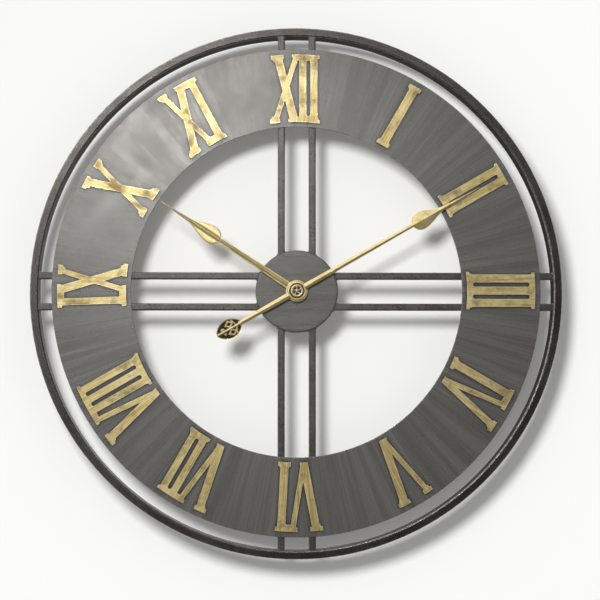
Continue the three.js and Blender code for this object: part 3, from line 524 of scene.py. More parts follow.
print("materials")
ironLooks = {
    # rimIron's strong pale rubbed edges are partly real wear and partly a painted highlight on the rim's
    # rounded inner edge
    "rimIron": dict(
        radial=False, stretch=(160.0, 90.0, 160.0), cloud=45.0, edge=0.0014, wear=1.3, rough=0.25,
        bump=0.2, metal=0.93, wax=0.004, waxShare=0.5,
        dark=tint(70, 68, 65), light=tint(92, 90, 87), haze=tint(64, 62, 58), rub=tint(222, 220, 216)),
    "dialIron": dict(
        radial=True, around=200.0, along=8.0, cloud=24.0, edge=0.0004, wear=0.4, rough=0.25,
        bump=0.14, metal=0.62, wax=0.0045, waxShare=0.75,
        dark=tint(92, 91, 88), light=tint(124, 122, 118), haze=tint(90, 88, 84), rub=tint(176, 174, 168)),
    "spokeIron": dict(
        radial=False, stretch=(420.0, 160.0, 420.0), cloud=60.0, edge=0.0007, wear=0.5, rough=0.27,
        bump=0.2, metal=0.7, wax=0.003, waxShare=0.5,
        dark=tint(72, 71, 68), light=tint(102, 100, 97), haze=tint(70, 68, 64), rub=tint(150, 148, 143)),
    "cupIron": dict(
        radial=False, stretch=(90.0, 200.0, 1300.0), cloud=70.0, edge=0.0006, wear=0.5, rough=0.27,
        bump=0.2, metal=0.62, wax=0.004, waxShare=0.5,
        dark=tint(84, 83, 80), light=tint(112, 110, 107), haze=tint(82, 80, 76), rub=tint(176, 174, 168)),
}
goldLooks = {
    # numeralGold's pale rubbed edges are partly real wear and partly a painted highlight on the chamfers
    "numeralGold": dict(
        radial=True, film=46.0, cover=0.4, filmShare=0.6, edge=0.0011, wear=1.2, rough=0.3, bump=0.1,
        metal=0.8, base=tint(172, 148, 92), brushed=tint(232, 210, 148), pale=tint(242, 228, 174),
        rub=tint(250, 246, 214), brown=tint(104, 84, 46), deep=tint(50, 38, 20)),
    "handGold": dict(
        radial=False, film=120.0, cover=0.3, filmShare=0.35, edge=0.0004, wear=0.6, rough=0.28, bump=0.12,
        metal=0.8, base=tint(204, 180, 118), brushed=tint(226, 206, 148), pale=tint(242, 228, 176),
        rub=tint(250, 242, 206), brown=tint(124, 96, 50), deep=tint(36, 27, 14)),
}
goldLooks["capGold"] = dict(
    goldLooks["handGold"], base=tint(222, 204, 158), brushed=tint(236, 222, 184),
    pale=tint(246, 238, 212), brown=tint(150, 124, 76), rough=0.24)
metalLooks = {
    "movementBrass": dict(
        stretch=(900.0, 900.0, 900.0), rough=0.26, dark=tint(176, 136, 66), light=tint(212, 172, 96),
        dull=tint(140, 106, 56), rub=tint(236, 206, 140)),
    "zincPlate": dict(
        stretch=(700.0, 700.0, 180.0), rough=0.32, dark=tint(150, 152, 154), light=tint(184, 186, 188),
        dull=tint(120, 122, 122), rub=tint(222, 222, 220)),
}
plasticLooks = {
    "blackMoulding": dict(
        rough=0.42, bump=0.5, specular=0.45, dark=tint(20, 20, 21), light=tint(31, 31, 33),
        dust=tint(84, 82, 78), rub=tint(72, 72, 74)),
    "whiteMoulding": dict(
        rough=0.36, bump=0.3, specular=0.5, dark=tint(216, 214, 206), light=tint(236, 234, 228),
        dust=tint(190, 186, 176), rub=tint(246, 246, 242)),
    "gasketRubber": dict(
        rough=0.66, bump=0.8, specular=0.3, dark=tint(22, 22, 22), light=tint(36, 36, 35),
        dust=tint(96, 94, 90), rub=tint(60, 60, 58)),
}
finishes = {}
for make, looks in ((brushedIron, ironLooks), (agedGold, goldLooks), (plainMetal, metalLooks),
                    (mouldedPlastic, plasticLooks)):
    finishes.update({name: make(name, look) for name, look in looks.items()})
slotFinishes = dict(
    rim="rimIron", spoke="spokeIron", dial="dialIron", cup="cupIron", gold_numeral="numeralGold",
    gold_hand="handGold", brass="movementBrass", zinc="zincPlate", black_plastic="blackMoulding",
    white_plastic="whiteMoulding", rubber="gasketRubber")
slotMaterials = {slotName: finishes[finish] for slotName, finish in slotFinishes.items()}
slotMaterials.update(copper=woundWire(), board=circuitLaminate(), jacket=cellJacket())

# every CAD node first takes the finish of its own slot; the ones that are rebuilt below are then hidden
for entry in frame["record"]["subparts"]:
    target, finish = nodes[entry["node"]], slotMaterials[entry["material_slot"]]
    if not target.material_slots:
        target.data.materials.append(finish)
    for place in target.material_slots:
        place.material = finish

# ---- rim ----
print("rim, dial ring and cup")
rimLow, rimHigh = nodeBox("rim")
rimRadius, rimDepth = (rimHigh[0] - rimLow[0]) / 2, rimHigh[1] - rimLow[1]
rimInner = aroundAxis("rim")[0].min()
# scale is how dark the painted shade on the rim's inner wall is
rimShape = dict(sides=320, innerEdge=2.0, outerEdge=1.1, backEdge=0.8, sway=0.12, scale=0.9)


def forged(a, r, standoff):
    # the hand-bent bar wavers: its radius and face move by a few slow sines of the angle
    sway = rimShape["sway"] * (np.sin(5 * a + 0.6) + 0.6 * np.sin(11 * a + 2.1) + 0.4 * np.sin(23 * a)) / 2
    outside = (r - rimInner) / (rimRadius - rimInner)
    return r - np.abs(sway) * outside, standoff * (1 - 0.004 * np.abs(np.sin(3 * a)))


rimOutline = roundedOutline(
    [[rimInner, 0], [rimInner, rimDepth], [rimRadius, rimDepth], [rimRadius, 0]],
    [rimShape["backEdge"], rimShape["innerEdge"], rimShape["outerEdge"], rimShape["backEdge"]], 7, 0.2)
# the inner wall gets painted shade, as dark as rimShape's scale says, up to the rubbed front edge
onInnerWall = (rimOutline[:, 0] < rimInner + 0.05) & (rimOutline[:, 1] < rimDepth - rimShape["innerEdge"])
rimInnerShade = np.tile(np.where(onInnerWall, rimShape["scale"], 0.0), rimShape["sides"])
buildPiece("rim_bar", [(*revolved(rimOutline, rimShape["sides"], forged), rimInnerShade)], "frame", "rim", "rim")

# ---- dial ring ----
dialRadii, dialStandoffs = aroundAxis("dial_ring")
dialShape = dict(sides=320, rows=10, edge=0.45, backEdge=0.2)
dialInner, dialOuter = dialRadii.min(), dialRadii.max()
dialBack, dialFront = dialStandoffs.min(), dialStandoffs.max()
dialRows = np.linspace(dialInner, dialOuter, dialShape["rows"])[1:-1]
dialCorners = [[dialInner, dialBack], [dialInner, dialFront], *[[r, dialFront] for r in dialRows],
               [dialOuter, dialFront], [dialOuter, dialBack]]
edge, backEdge = dialShape["edge"], dialShape["backEdge"]
dialOutline = roundedOutline(dialCorners, [backEdge, edge, *[2.0] * len(dialRows), edge, backEdge], 4, 0.3)
buildPiece("dial_plate", [revolved(dialOutline, dialShape["sides"])], "frame", "dial_ring", "dial")

# ---- cup ----
cupRadii, cupStandoffs = aroundAxis("centre_cup")
cupShape = dict(sides=160, wall=1.2, edge=1.7)
cupRadius, cupHole = (cupHigh[0] - cupLow[0]) / 2, cupRadii.min()
cupFront, cupBack = cupStandoffs.max(), cupStandoffs.min()
wall = cupShape["wall"]
cupOutline = roundedOutline(
    [[cupHole, cupFront - wall], [cupHole, cupFront], [cupRadius, cupFront], [cupRadius, cupBack],
     [cupRadius - wall, cupBack], [cupRadius - wall, cupFront - wall]],
    [0.2, 0.3, cupShape["edge"], 0.4, 0.4, 0.9], 8, 0.25)
buildPiece("cup_shell", [revolved(cupOutline, cupShape["sides"])], "frame", "centre_cup", "cup")

# ---- spokes ----
print("spokes")
spokeShape = dict(rows=40, corner=1.3, flare=2.6, bite=0.25)
beadShape = dict(rows=15, columns=24, across=1.1, along=1.2)


def turnedAlong(direction, side, along, standoff):
    # along runs out from the clock's axis in the bar's direction, and side across it
    x, z = (side, along * direction[1]) if direction[0] == 0 else (along * direction[0], side)
    return placed(x, standoff, z)


def spokeBar(direction, offset, back, front, width):
    # A rounded square section carried outwards from the cup to the rim. Each end follows the round
    # it meets, bites a little into it, and spreads there by a quarter circle of the distance d to
    # the end: flare x (1 - sqrt(1 - (1 - d / flare)^2)).
    half, flare = width / 2, spokeShape["flare"]
    cupRound, rimRound = cupRadius - spokeShape["bite"], rimInner + spokeShape["bite"]
    section = roundedOutline(
        [[-half, back], [-half, front], [half, front], [half, back]], spokeShape["corner"], 5, 0.25)
    across, standoff = section[:, 0][None, :], section[:, 1][None, :]
    ease = (1 - np.cos(np.linspace(0, np.pi, spokeShape["rows"]))) / 2
    close = 0.001 + 0.002 * np.arange(12)  # more rows where the ends spread
    u = np.sort(np.concatenate([ease, close, 0.999 - 0.002 * np.arange(12)]))[:, None]
    inner, outer = np.sqrt(cupRound ** 2 - offset ** 2), np.sqrt(rimRound ** 2 - offset ** 2)
    far = np.minimum(u * (outer - inner), (1 - u) * (outer - inner))
    spreadBy = flare * (1 - np.sqrt(np.clip(1 - np.clip(1 - far / flare, 0, 1) ** 2, 0, 1)))
    wide = across * (1 + 0.55 * spreadBy / half)
    deep = back + (standoff - back) + 0 * u - 0.5 * spreadBy * (front - standoff) / (front - back)
    side = offset + wide
    start, stop = np.sqrt(cupRound ** 2 - side ** 2), np.sqrt(rimRound ** 2 - side ** 2)
    along = start + (stop - start) * u
    return tube(turnedAlong(direction, side, along, deep), *along.shape)


def weldBead(direction, offset, standoffs, radius, seed):
    # A bead of weld where a bar meets a round: an ellipsoid whose surface swells by sines of both
    # its angles.
    rows, columns = beadShape["rows"], beadShape["columns"]
    u, v = np.linspace(0, np.pi, rows)[:, None], onceRound(columns).T
    lump = 1 + 0.12 * np.sin(3 * v + seed) * np.sin(u) + 0.1 * np.sin(5 * u + 2 * seed) * np.sin(u)
    side = offset + beadShape["across"] * lump * np.sin(u) * np.cos(v)
    standoff = (standoffs[0] + standoffs[1]) / 2 + (standoffs[1] - standoffs[0]) / 2 * np.cos(u)
    along = np.sqrt(radius ** 2 - offset ** 2) + beadShape["along"] * lump * np.sin(u) * np.sin(v)
    return turnedAlong(direction, side, along, standoff), gridFaces(rows, columns, False, True)


for side, direction in dict(top=(0, 1), right=(1, 0), bottom=(0, -1), left=(-1, 0)).items():
    for letter in "ab":
        low, high = nodeBox(f"spoke_{side}_{letter}")
        acrossAxis = 0 if direction[0] == 0 else 2
        offset = (low[acrossAxis] + high[acrossAxis]) / 2 - axis[acrossAxis]
        width = high[acrossAxis] - low[acrossAxis]
        back, front = -high[1], -low[1]
        half = width / 2
        beads = [
            weldBead(direction, offset + s * (half + 0.2), (back + 0.8, front - 0.5), radius, k)
            for k, s in enumerate((-1, 1)) for radius in (cupRadius + 0.1, rimInner - 0.1)]
        buildPiece(f"bar_{side}_{letter}", [spokeBar(direction, offset, back, front, width), *beads],
                   "frame", f"spoke_{side}_{letter}", "spoke", sharp=40)

# ---- numerals ----
print("numerals")
numeralShape = dict(edge=0.7)
for hour in range(1, 13):
    bevelledCopy(f"roman_{hour}", f"numeral_{hour}", "frame", "gold_numeral", numeralShape["edge"])

# ---- hands ----
print("hands")
leafShape = dict(widest=0.24, end=0.22)  # where the leaf is widest, and the share of it left at its end


def leafShare(u):
    # the leaf swells as a quarter circle up to its widest, then falls as half a cosine
    u, widest, end = np.clip(u, 0, 1), leafShape["widest"], leafShape["end"]
    swell = np.sqrt(np.clip(1 - (1 - u / widest) ** 2, 0, 1))
    fall = end + (1 - end) * (0.5 + 0.5 * np.cos(np.pi * (u - widest) / (1 - widest)))
    return np.where(u < widest, swell, fall)


handShapes = {
    "hour": dict(
        start=9.6, root=4.3, neck=2.8, leaf=(104, 148), leafWide=10.2, needle=0.38, angle=303.4,
        edge=0.75, crown=0.28, ridgeMost=1.7, ridgeShape="rib"),
    "minute": dict(
        start=8.4, root=3.3, neck=2.0, leaf=(150, 192), leafWide=10.0, needle=0.38, angle=60.4,
        edge=0.45, crown=1.3, ridgeMost=1.2, ridgeShape="roof"),
}
# The rib takes at most ribShare of the half width, and the groove lies grooveAt rib halves out. The
# points of a section crowd within fan rib halves of the middle, and soften rounds the roof's line.
handDetail = dict(
    ribShare=0.42, grooveAt=1.25, grooveWide=0.28, grooveDeep=0.22, fan=1.55, soften=0.006,
    shaftRows=26, leafRows=60, edgeShare=0.8, backShare=0.985)


def halfWidth(along, look, tip):
    # a straight taper to the neck, the leaf's swelling, then a nearly straight taper to the tip
    start, end = look["leaf"]
    shaft = look["root"] + (look["neck"] - look["root"]) * along / start
    u = (along - start) / (end - start)
    leaf = look["leafWide"] * leafShare(u)
    front = look["leafWide"] * leafShape["end"]
    point = front + (look["needle"] - front) * np.clip((along - end) / (tip - end), 0, 1) ** 0.8
    inLeaf = np.maximum(leaf, look["neck"] * np.clip(1 - u * 6, 0, 1))
    return np.where(along < start, shaft, np.where(along < end, inLeaf, point))


def turnedTo(angle, along, across, standoff):
    # along points to the clock reading's angle, and across to the left of it
    s, c = math.sin(math.radians(angle)), math.cos(math.radians(angle))
    return placed(along * s - across * c, standoff, along * c + across * s)


def handFront(share, half, look, room):
    # Height of the front over the back. share runs from -1 to 1 across the hand; a rib is a cosine
    # hump with a shallow groove on either side of it on a crowned face, and a roof is two slopes
    # that meet in a softened line.
    reach = np.abs(share * half)
    if look["ridgeShape"] == "rib":
        ribHalf = np.minimum(handDetail["ribShare"] * half, look["ridgeMost"])
        hump = np.where(reach < ribHalf, 0.5 + 0.5 * np.cos(np.pi * np.clip(reach / ribHalf, 0, 1)), 0)
        fromGroove = reach - handDetail["grooveAt"] * ribHalf
        groove = np.exp(-(fromGroove / (handDetail["grooveWide"] * ribHalf)) ** 2)
        base = look["edge"] + look["crown"] * np.sqrt(np.clip(1 - share ** 2, 0, 1))
        height = base + (room - look["edge"] - look["crown"]) * hump
        height = height - handDetail["grooveDeep"] * groove * np.clip(half / 2, 0, 1)
        return height, np.clip(groove * 0.75, 0, 1)
    soften = handDetail["soften"]
    soft = np.sqrt(share ** 2 + soften) - math.sqrt(soften)
    slope = np.clip(1 - soft / (math.sqrt(1 + soften) - math.sqrt(soften)), 0, 1)
    height = look["edge"] + (room - look["edge"]) * slope
    return height, 0.0 * height


def closedHand(look, rows, share, half, height, groove, back):
    # closes a hand's sections along the back, a little inside their edges
    height = np.where(np.abs(share) > 0.999, look["edge"] * handDetail["edgeShare"], height)
    behind = half * handDetail["backShare"]
    across = np.concatenate([share * half, behind, -behind], 1)
    height = np.concatenate([height, 0 * half, 0 * half], 1)
    points = turnedTo(look["angle"], rows + 0 * across, across, back + height)
    return *tube(points, *across.shape), np.concatenate([groove, 0 * half, 0 * half], 1).ravel()


def blade(look, back, front, tip):
    # The section runs over the front from one edge to the other and returns along the back, with
    # more points over the ridge.
    start, end = look["leaf"]
    rows = np.concatenate([
        np.linspace(look["start"], start, handDetail["shaftRows"], endpoint=False),
        start + (end - start) * np.linspace(0, 1, handDetail["leafRows"]) ** 1.5,
        np.linspace(end, tip, handDetail["shaftRows"])[1:]])[:, None]
    half = halfWidth(rows, look, tip)
    ribShare, fan = np.minimum(handDetail["ribShare"], look["ridgeMost"] / half), handDetail["fan"]
    inner = np.linspace(-fan, fan, 17)[None, :] * ribShare
    outer = np.linspace(0, 1, 7)[None, :-1]
    edge = fan * ribShare + (1 - fan * ribShare) * (1 - outer)
    share = np.concatenate([-edge, inner, edge[:, ::-1]], 1)
    return closedHand(look, rows, share, half, *handFront(share, half, look, front - back), back)


hourRadii, hourStandoffs = aroundAxis("hour_hand")
hourBack, hourFront = hourStandoffs.min(), hourStandoffs.max()
minuteRadii, minuteStandoffs = aroundAxis("minute_hand")
minuteBack, minuteFront = minuteStandoffs.min(), minuteStandoffs.max()
hourHub = dict(radius=12.4, ringInner=9.9, recess=0.9)
minuteHub = dict(radius=10.4, ringInner=8.5, recess=0.8)
hubSides = 96


def hub(look, bore, back, front):
    # a raised round ring with a sunk floor inside it and a low boss at the bore
    radius, ringInner, floor = look["radius"], look["ringInner"], front - look["recess"]
    outline = roundedOutline(
        [[bore, back], [bore, front - 0.25], [bore + 1.6, front - 0.25], [bore + 2.0, floor],
         [ringInner - 0.3, floor], [ringInner, front], [radius, front], [radius, back]],
        [0.1, 0.2, 0.25, 0.25, 0.25, 0.6, 0.75, 0.2], 5)
    sunk = (outline[:, 1] < front - 0.45) & (outline[:, 1] > back + 0.3)
    sunk &= (outline[:, 0] > bore + 1.7) & (outline[:, 0] < ringInner + 0.15)
    return *revolved(outline, hubSides), np.tile(np.where(sunk, 0.85, 0.0), hubSides)


buildPiece("hour_blade", [
    blade(handShapes["hour"], hourBack, hourFront, hourRadii.max()),
    hub(hourHub, hourRadii.min(), hourBack, hourFront)], "hour", "hour_hand", "gold_hand", sharp=50)

# ---- minute hand's tail and finial ----
tail = dict(start=8.4, neck=71.0, tip=103.0, root=3.5, neckWide=2.7, wide=11.2)
window = dict(
    along=85.0, across=4.9, halfLength=2.9, halfWidth=2.3, sheetEdge=0.5, sheetFrom=0.1, sheetTo=0.5)
bud = dict(
    stem=1.25, bar=0.42, border=1.15, crossAlong=78.0, crossHalf=0.9, crossReach=8,
    # each bead: its middle along and across, its length and width, and how far it spreads
    bead=(94.5, 2.6, 2.4, 1.5, 0.95), smallBead=(93.5, -3.4, 1.8, 1.3, 0.9),
    floor=0.34, rays=132, reach=22, samples=1800, steps=20)
# the tail points the other way from the blade
minuteBehind = dict(handShapes["minute"], angle=handShapes["minute"]["angle"] + 180)


def budHalf(along):
    # the finial's half width: wide x sin(pi u)^0.6, u running from its neck to its tip
    u = np.clip((along - tail["neck"]) / (tail["tip"] - tail["neck"]), 0, 1)
    return tail["wide"] * np.sin(np.pi * u) ** 0.6


def budRelief(along, across):
    # Share of the full height. Cast bars stand on a sunk floor: a stem, a bar round each opening,
    # a raised border, a cross bar and two beads near the tip. Each is exp(-(d / half)^4) of the
    # distance d to its line.
    def bell(distance, half):
        return np.exp(-(distance / half) ** 4)

    def beadBell(middle, offset, length, width, half):
        return bell(np.hypot((along - middle) / length, (across - offset) / width), half)

    diamond = np.abs(along - window["along"]) / window["halfLength"] + \
        np.abs(np.abs(across) - window["across"]) / window["halfWidth"]
    crossBar = bell(along - bud["crossAlong"] - 0.35 * np.abs(across), bud["crossHalf"])
    return np.clip(np.maximum.reduce([
        bell(across, bud["stem"]), 0.92 * bell(diamond - 1.5, bud["bar"]),
        0.75 * bell(budHalf(along) - np.abs(across), bud["border"]),
        0.7 * (crossBar * (np.abs(across) < bud["crossReach"])),
        beadBell(*bud["bead"]), 0.7 * beadBell(*bud["smallBead"])]), 0, 1)


def budLobe(side, back, front):
    # One half of the finial: rays from the opening's middle, from the diamond's edge out to the
    # border or the middle line, closed round the back.
    middle = np.array([window["along"], window["across"]])
    ends = np.array([[tail["neck"], 0.0], [tail["tip"], 0.0]]) - middle
    toEnds = np.arctan2(ends[:, 1], ends[:, 0]) % (2 * np.pi)
    angles = np.sort(np.concatenate([onceRound(bud["rays"]).ravel(), toEnds]))[:, None]
    c, s = np.cos(angles), np.sin(angles)
    inner = 1 / (np.abs(c) / window["halfLength"] + np.abs(s) / window["halfWidth"])
    reach = np.linspace(0, bud["reach"], bud["samples"])[None, :]
    along, across = middle[0] + reach * c, middle[1] + reach * s
    inside = (across > -1e-6) & (across < budHalf(along)) & (along > tail["neck"]) & (along < tail["tip"])
    outer = (np.cumprod(inside, 1).sum(1)[:, None] - 1) * reach[0, 1]
    u = np.linspace(0, 1, bud["steps"])[None, :]
    far = inner + (np.maximum(outer, inner + 0.3) - inner) * u
    along, across = middle[0] + far * c, np.maximum(middle[1] + far * s, 0)
    relief = budRelief(along, across * side)
    height = (front - back) * (bud["floor"] + (1 - bud["floor"]) * relief)
    dark = np.clip(1.15 - 1.5 * relief, 0, 1)
    along, across, dark = (
        np.concatenate([grid, grid[:, -1:], grid[:, :1]], 1) for grid in (along, across, dark))
    height = np.concatenate([height, 0 * height[:, :1], 0 * height[:, :1]], 1)
    points = turnedTo(minuteBehind["angle"], along, -side * across, back + height)
    return points, gridFaces(*along.shape, True, True), dark.ravel()


def windowShadeSheet(side, back):
    # a thin sheet behind each opening, coloured as painted shade for the dark seen through it: a diamond a
    # little larger than the opening
    long, wide = window["halfLength"] + window["sheetEdge"], window["halfWidth"] + window["sheetEdge"]
    corners = np.array([[long, 0], [0, wide], [-long, 0], [0, -wide]])
    along, across = window["along"] + corners[:, 0], -side * (window["across"] + corners[:, 1])
    layers = [turnedTo(minuteBehind["angle"], along, across, back + h)
              for h in (window["sheetFrom"], window["sheetTo"])]
    faces = [(0, 1, 2, 3), (7, 6, 5, 4)] + [(i, i + 4, (i + 1) % 4 + 4, (i + 1) % 4) for i in range(4)]
    return np.concatenate(layers), [tuple(f[::side]) for f in faces], np.ones(8)


def tailArm(back, front):
    # the arm between hub and finial, with the same roof as the blade
    rows = np.linspace(tail["start"], tail["neck"] + 3.5, 24)[:, None]
    taper = (rows - tail["start"]) / (tail["neck"] - tail["start"])
    half = tail["root"] + (tail["neckWide"] - tail["root"]) * taper
    share = np.linspace(-1, 1, 25)[None, :] + 0 * half
    return closedHand(
        minuteBehind, rows, share, half, *handFront(share, half, minuteBehind, front - back), back)


buildPiece("minute_blade", [
    blade(handShapes["minute"], minuteBack, minuteFront, minuteRadii.max()),
    hub(minuteHub, minuteRadii.min(), minuteBack, minuteFront), tailArm(minuteBack, minuteFront),
    *[budLobe(side, minuteBack, minuteFront) for side in (1, -1)],
    *[windowShadeSheet(side, minuteBack) for side in (1, -1)]],
    "minute", "minute_hand", "gold_hand", sharp=40)

# ---- cap nut ----
capLow, capHigh = nodeBox("hand_nut")
capShape = dict(arms=5, ring=5.9, ringHalf=1.3, boss=2.3, floor=0.95, sides=160, rings=44)


def capNut():
    # Over radius r and angle a, the front is the highest of a round outer ring, a domed boss and
    # five arms, each a bell of one less the cosine of five times the angle, over a sunk floor.
    radius, depth = (capHigh[0] - capLow[0]) / 2, capHigh[1] - capLow[1]
    back, sides, rings = -capHigh[1], capShape["sides"], capShape["rings"]
    a = onceRound(sides)
    r = np.linspace(0.0, radius, rings)[None, :]
    ringHump = np.sqrt(np.clip(1 - ((r - capShape["ring"]) / capShape["ringHalf"]) ** 2, 0, 1))
    boss = np.sqrt(np.clip(1 - (r / capShape["boss"]) ** 2, 0, 1))
    arms = np.exp(-((1 - np.cos(capShape["arms"] * a + 0.5)) / 0.55) ** 2) * (r < capShape["ring"])
    stand = np.clip(np.maximum.reduce([ringHump + 0 * a, 0.95 * boss + 0 * a, 0.8 * arms]), 0, 1)
    height = capShape["floor"] + (depth - capShape["floor"]) * stand
    grid = placed(r * np.sin(a), back + height, r * np.cos(a))
    edge = placed(radius * np.sin(a), back + 0 * a, radius * np.cos(a))
    i, edgeStart = np.arange(sides), len(grid)
    after = (i + 1) % sides
    wallFaces = np.stack([
        i * rings + rings - 1, after * rings + rings - 1, edgeStart + after, edgeStart + i], -1).tolist()
    faces = gridFaces(sides, rings, True, False) + wallFaces + [(edgeStart + i).tolist()]
    dark = np.concatenate([np.clip(1.1 - 1.8 * stand, 0, 1).ravel(), np.zeros(sides)])
    return np.concatenate([grid, edge]), faces, dark


buildPiece("cap_nut", [capNut()], "minute", "hand_nut", "gold_hand", sharp=60, material=finishes["capGold"])

# ---- fittings and movement ----
print("fittings and movement")
for name, node, body, slotName, width in (
        ("hanger_plate", "hanger_bracket", "frame", "zinc", 0.35),
        ("nut_hex", "mounting_nut", "frame", "brass", 0.35),
        ("case_shell", "movement_case", "frame", "black_plastic", 0.3),
        ("case_cover", "movement_cover", "frame", "black_plastic", 0.3),
        ("knob", "setting_knob", "knob", "black_plastic", 0.25)):
    bevelledCopy(name, node, body, slotName, width)

cell = dict(radius=7.1, nub=2.7, nubLength=1.6, shoulder=0.9, crimp=0.35, dish=0.35, sides=72)


def drySurface():
    # The cell's outline turned about its own axis, which lies along x: nub, shoulder, a shallow
    # crimp behind it, the long side, and the dished other end.
    length = batteryHigh[0] - batteryLow[0]
    body, r, dish = length - cell["nubLength"], cell["radius"], cell["dish"]
    waist = r - cell["crimp"]
    outline = roundedOutline(
        [[0.0, dish], [r - 1.9, dish], [r - 1.6, 0.0], [r, 0.0], [r, body - 2.2], [waist, body - 1.6],
         [waist, body], [cell["nub"], body], [cell["nub"], length], [0.0, length]],
        [0.01, 0.2, 0.2, cell["shoulder"], 0.3, 0.3, 0.6, 0.3, 0.5, 0.01], 5)
    radius = np.clip(outline[:, 0], 0, None)[None, :]
    a = onceRound(cell["sides"])
    y = (batteryLow[1] + batteryHigh[1]) / 2 + radius * np.cos(a)
    z = (batteryLow[2] + batteryHigh[2]) / 2 + radius * np.sin(a)
    x = batteryLow[0] + outline[:, 1][None, :] + 0 * a
    return np.stack([x, y, z], -1).reshape(-1, 3), gridFaces(cell["sides"], len(outline), True, True)


buildPiece("dry_cell", [drySurface()], "frame", "battery", "jacket")

# ---- wall, lights and camera ----
print("wall, lights and camera")
studio = dict(
    wallBehind=38.0, wallHalf=6.0, floorHeight=-1.7, keyDistance=2.0, keySize=0.5, keyTilt=17.3,
    keyTurn=-44.0, keyPower=42.0, keyFeather=42.5, spotDistance=6.0, spotSize=0.4, spotTilt=11.5,
    spotTurn=-22.0, spotPower=26.5, ambient=0.44, glossDark=0.06, glossBright=1.5, glossRear=0.4,
    glossFrom=(-0.62, -0.35, 0.7), rearPower=2.0, rearFrom=(0.5, 1.0, 0.6),
    paintCentre=(0.0, 0.038, -0.246), paintNear=tint(240, 240, 238), paintFar=tint(256, 256, 254))


def stageMaterial():
    # Pale matt paint, a little brighter with the square of the distance from the clock's centre. It
    # lets the view from behind and every lamp's light pass through.
    material = bpy.data.materials.new("palePaint")
    material.use_nodes = True
    tree = material.node_tree
    tree.nodes.clear()
    away = addNode(tree, "ShaderNodeVectorMath", {0: objectPlace(tree), 1: studio["paintCentre"]},
                   operation="DISTANCE").outputs["Value"]
    colour = blendColour(tree, times(tree, away, away), studio["paintNear"], studio["paintFar"])
    paint = addNode(tree, "ShaderNodeBsdfDiffuse", {"Color": colour})
    clear = addNode(tree, "ShaderNodeBsdfTransparent")
    behind = addNode(tree, "ShaderNodeNewGeometry").outputs["Backfacing"]
    shadowRay = addNode(tree, "ShaderNodeLightPath").outputs["Is Shadow Ray"]
    share = calc(tree, "MAXIMUM", behind, shadowRay)
    mixed = addNode(tree, "ShaderNodeMixShader", {0: share, 1: paint.outputs[0], 2: clear.outputs[0]})
    addNode(tree, "ShaderNodeOutputMaterial", {"Surface": mixed.outputs[0]})
    return material


def stageSheet(name, corners, material):
    mesh = bpy.data.meshes.new(name)
    mesh.from_pydata(corners, [], [(0, 1, 2, 3)])
    mesh.materials.append(material)
    sheet = addObject(name, mesh)
    return sheet


paint = stageMaterial()
h, y, floorZ = studio["wallHalf"], studio["wallBehind"] * mm, studio["floorHeight"]
stageSheet("wall", [(-h, y, floorZ), (h, y, floorZ), (h, y, h), (-h, y, h)], paint)
floor = stageSheet("floor", [(-h, -h, floorZ), (h, -h, floorZ), (h, h, floorZ), (-h, h, floorZ)], paint)
floor.visible_glossy = False
floor.visible_diffuse = False

world = bpy.data.worlds.new("studio")
bpy.context.scene.world = world
world.use_nodes = True
sky = world.node_tree
sky.nodes.clear()
paths = addNode(sky, "ShaderNodeLightPath").outputs
direction = addNode(sky, "ShaderNodeTexCoord").outputs["Generated"]
sweep = addNode(sky, "ShaderNodeVectorMath", {0: direction, 1: studio["glossFrom"]},
                operation="DOT_PRODUCT").outputs["Value"]
gloss = spread(sky, sweep, 0.2, 1.0, studio["glossDark"], studio["glossBright"])
rearward = addNode(sky, "ShaderNodeSeparateXYZ", {0: direction}).outputs[1]
gloss = plus(sky, gloss, spread(sky, rearward, 0.2, 0.9, 0.0, studio["glossRear"]))
extra = times(sky, paths["Is Glossy Ray"], minus(sky, gloss, studio["ambient"]))
strength = plus(sky, extra, studio["ambient"])
dim = addNode(sky, "ShaderNodeBackground", {"Color": (1.0, 1.0, 1.0, 1.0), "Strength": strength})
pale = addNode(sky, "ShaderNodeBackground", {"Color": tint(246, 246, 244), "Strength": 1.0})
worldMix = addNode(sky, "ShaderNodeMixShader", {
    0: paths["Is Camera Ray"], 1: dim.outputs[0], 2: pale.outputs[0]})
addNode(sky, "ShaderNodeOutputWorld", {"Surface": worldMix.outputs[0]})

target = Vector((axis * mm).tolist())


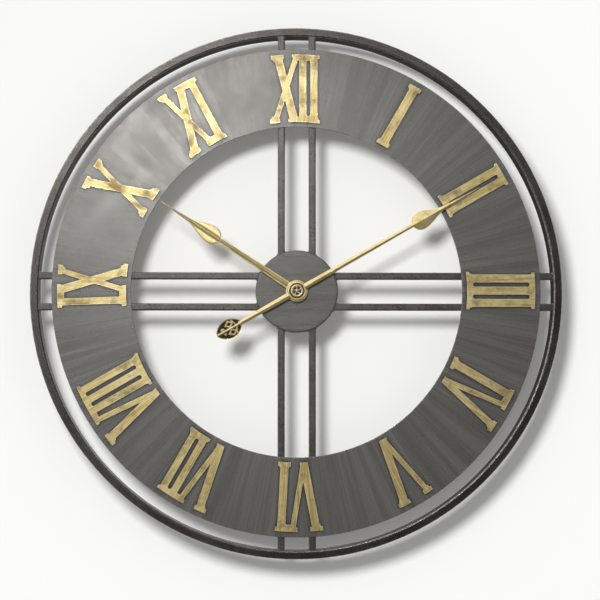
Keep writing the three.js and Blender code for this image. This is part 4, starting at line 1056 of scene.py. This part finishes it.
def addLamp(name, kind, power, towards, distance, size, feather=0.0):
    # A lamp at a distance from the clock's centre, pointing back at it. Feathered, it is turned past
    # the centre, so that the far side of the wall gets as much light as the near side.
    data = bpy.data.lights.new(name, kind)
    data.energy = power
    if kind == "AREA":
        data.shape = "DISK"
        data.size = size
    else:
        data.angle = size
    lamp = addObject(name, data)
    lamp.location = target + towards * distance
    aside = Vector((-towards.x, 0.0, -towards.z)).normalized()
    straight = (-towards - aside * aside.dot(-towards)).normalized()
    angle = math.atan2(aside.dot(-towards), straight.dot(-towards)) + math.radians(feather)
    pointing = straight * math.cos(angle) + aside * math.sin(angle)
    lamp.rotation_euler = pointing.to_track_quat("-Z", "Y").to_euler()
    return lamp


def lampWay(tilt, turn):
    # direction from the clock to a lamp: tilted off the line to the viewer, and turned clockwise
    # from the top
    tilt, turn = math.radians(tilt), math.radians(turn)
    return Vector((math.sin(tilt) * math.sin(turn), -math.cos(tilt), math.sin(tilt) * math.cos(turn)))


key = addLamp("key", "AREA", studio["keyPower"], lampWay(studio["keyTilt"], studio["keyTurn"]),
              studio["keyDistance"], studio["keySize"], studio["keyFeather"])
key.visible_glossy = False
spot = addLamp("sheen", "AREA", studio["spotPower"], lampWay(studio["spotTilt"], studio["spotTurn"]),
               studio["spotDistance"], studio["spotSize"])
spot.visible_diffuse = False
addLamp("rear", "SUN", studio["rearPower"], Vector(studio["rearFrom"]).normalized(), 3.0, 0.5)

view = dict(
    distance=2000.0, lens=106.6, sensor=36.0, elevation=-3.49, azimuth=-1.28, aim=(3.57, 24.5, -9.74),
    nearest=0.05, furthest=40.0)
e, a = math.radians(view["elevation"]), math.radians(view["azimuth"])
camData = bpy.data.cameras.new("camera")
camData.lens = view["lens"]
camData.sensor_width = view["sensor"]
camera = addObject("camera", camData)
aim = Vector((placed(*view["aim"])[0] * mm).tolist())
away = Vector((math.sin(a) * math.cos(e), -math.cos(a) * math.cos(e), math.sin(e)))
camera.location = aim + away * view["distance"] * mm
camera.rotation_euler = (-away).to_track_quat("-Z", "Y").to_euler()
camData.clip_start, camData.clip_end = view["nearest"], view["furthest"]
bpy.context.scene.camera = camera
bpy.context.scene.view_settings.view_transform = "Standard"
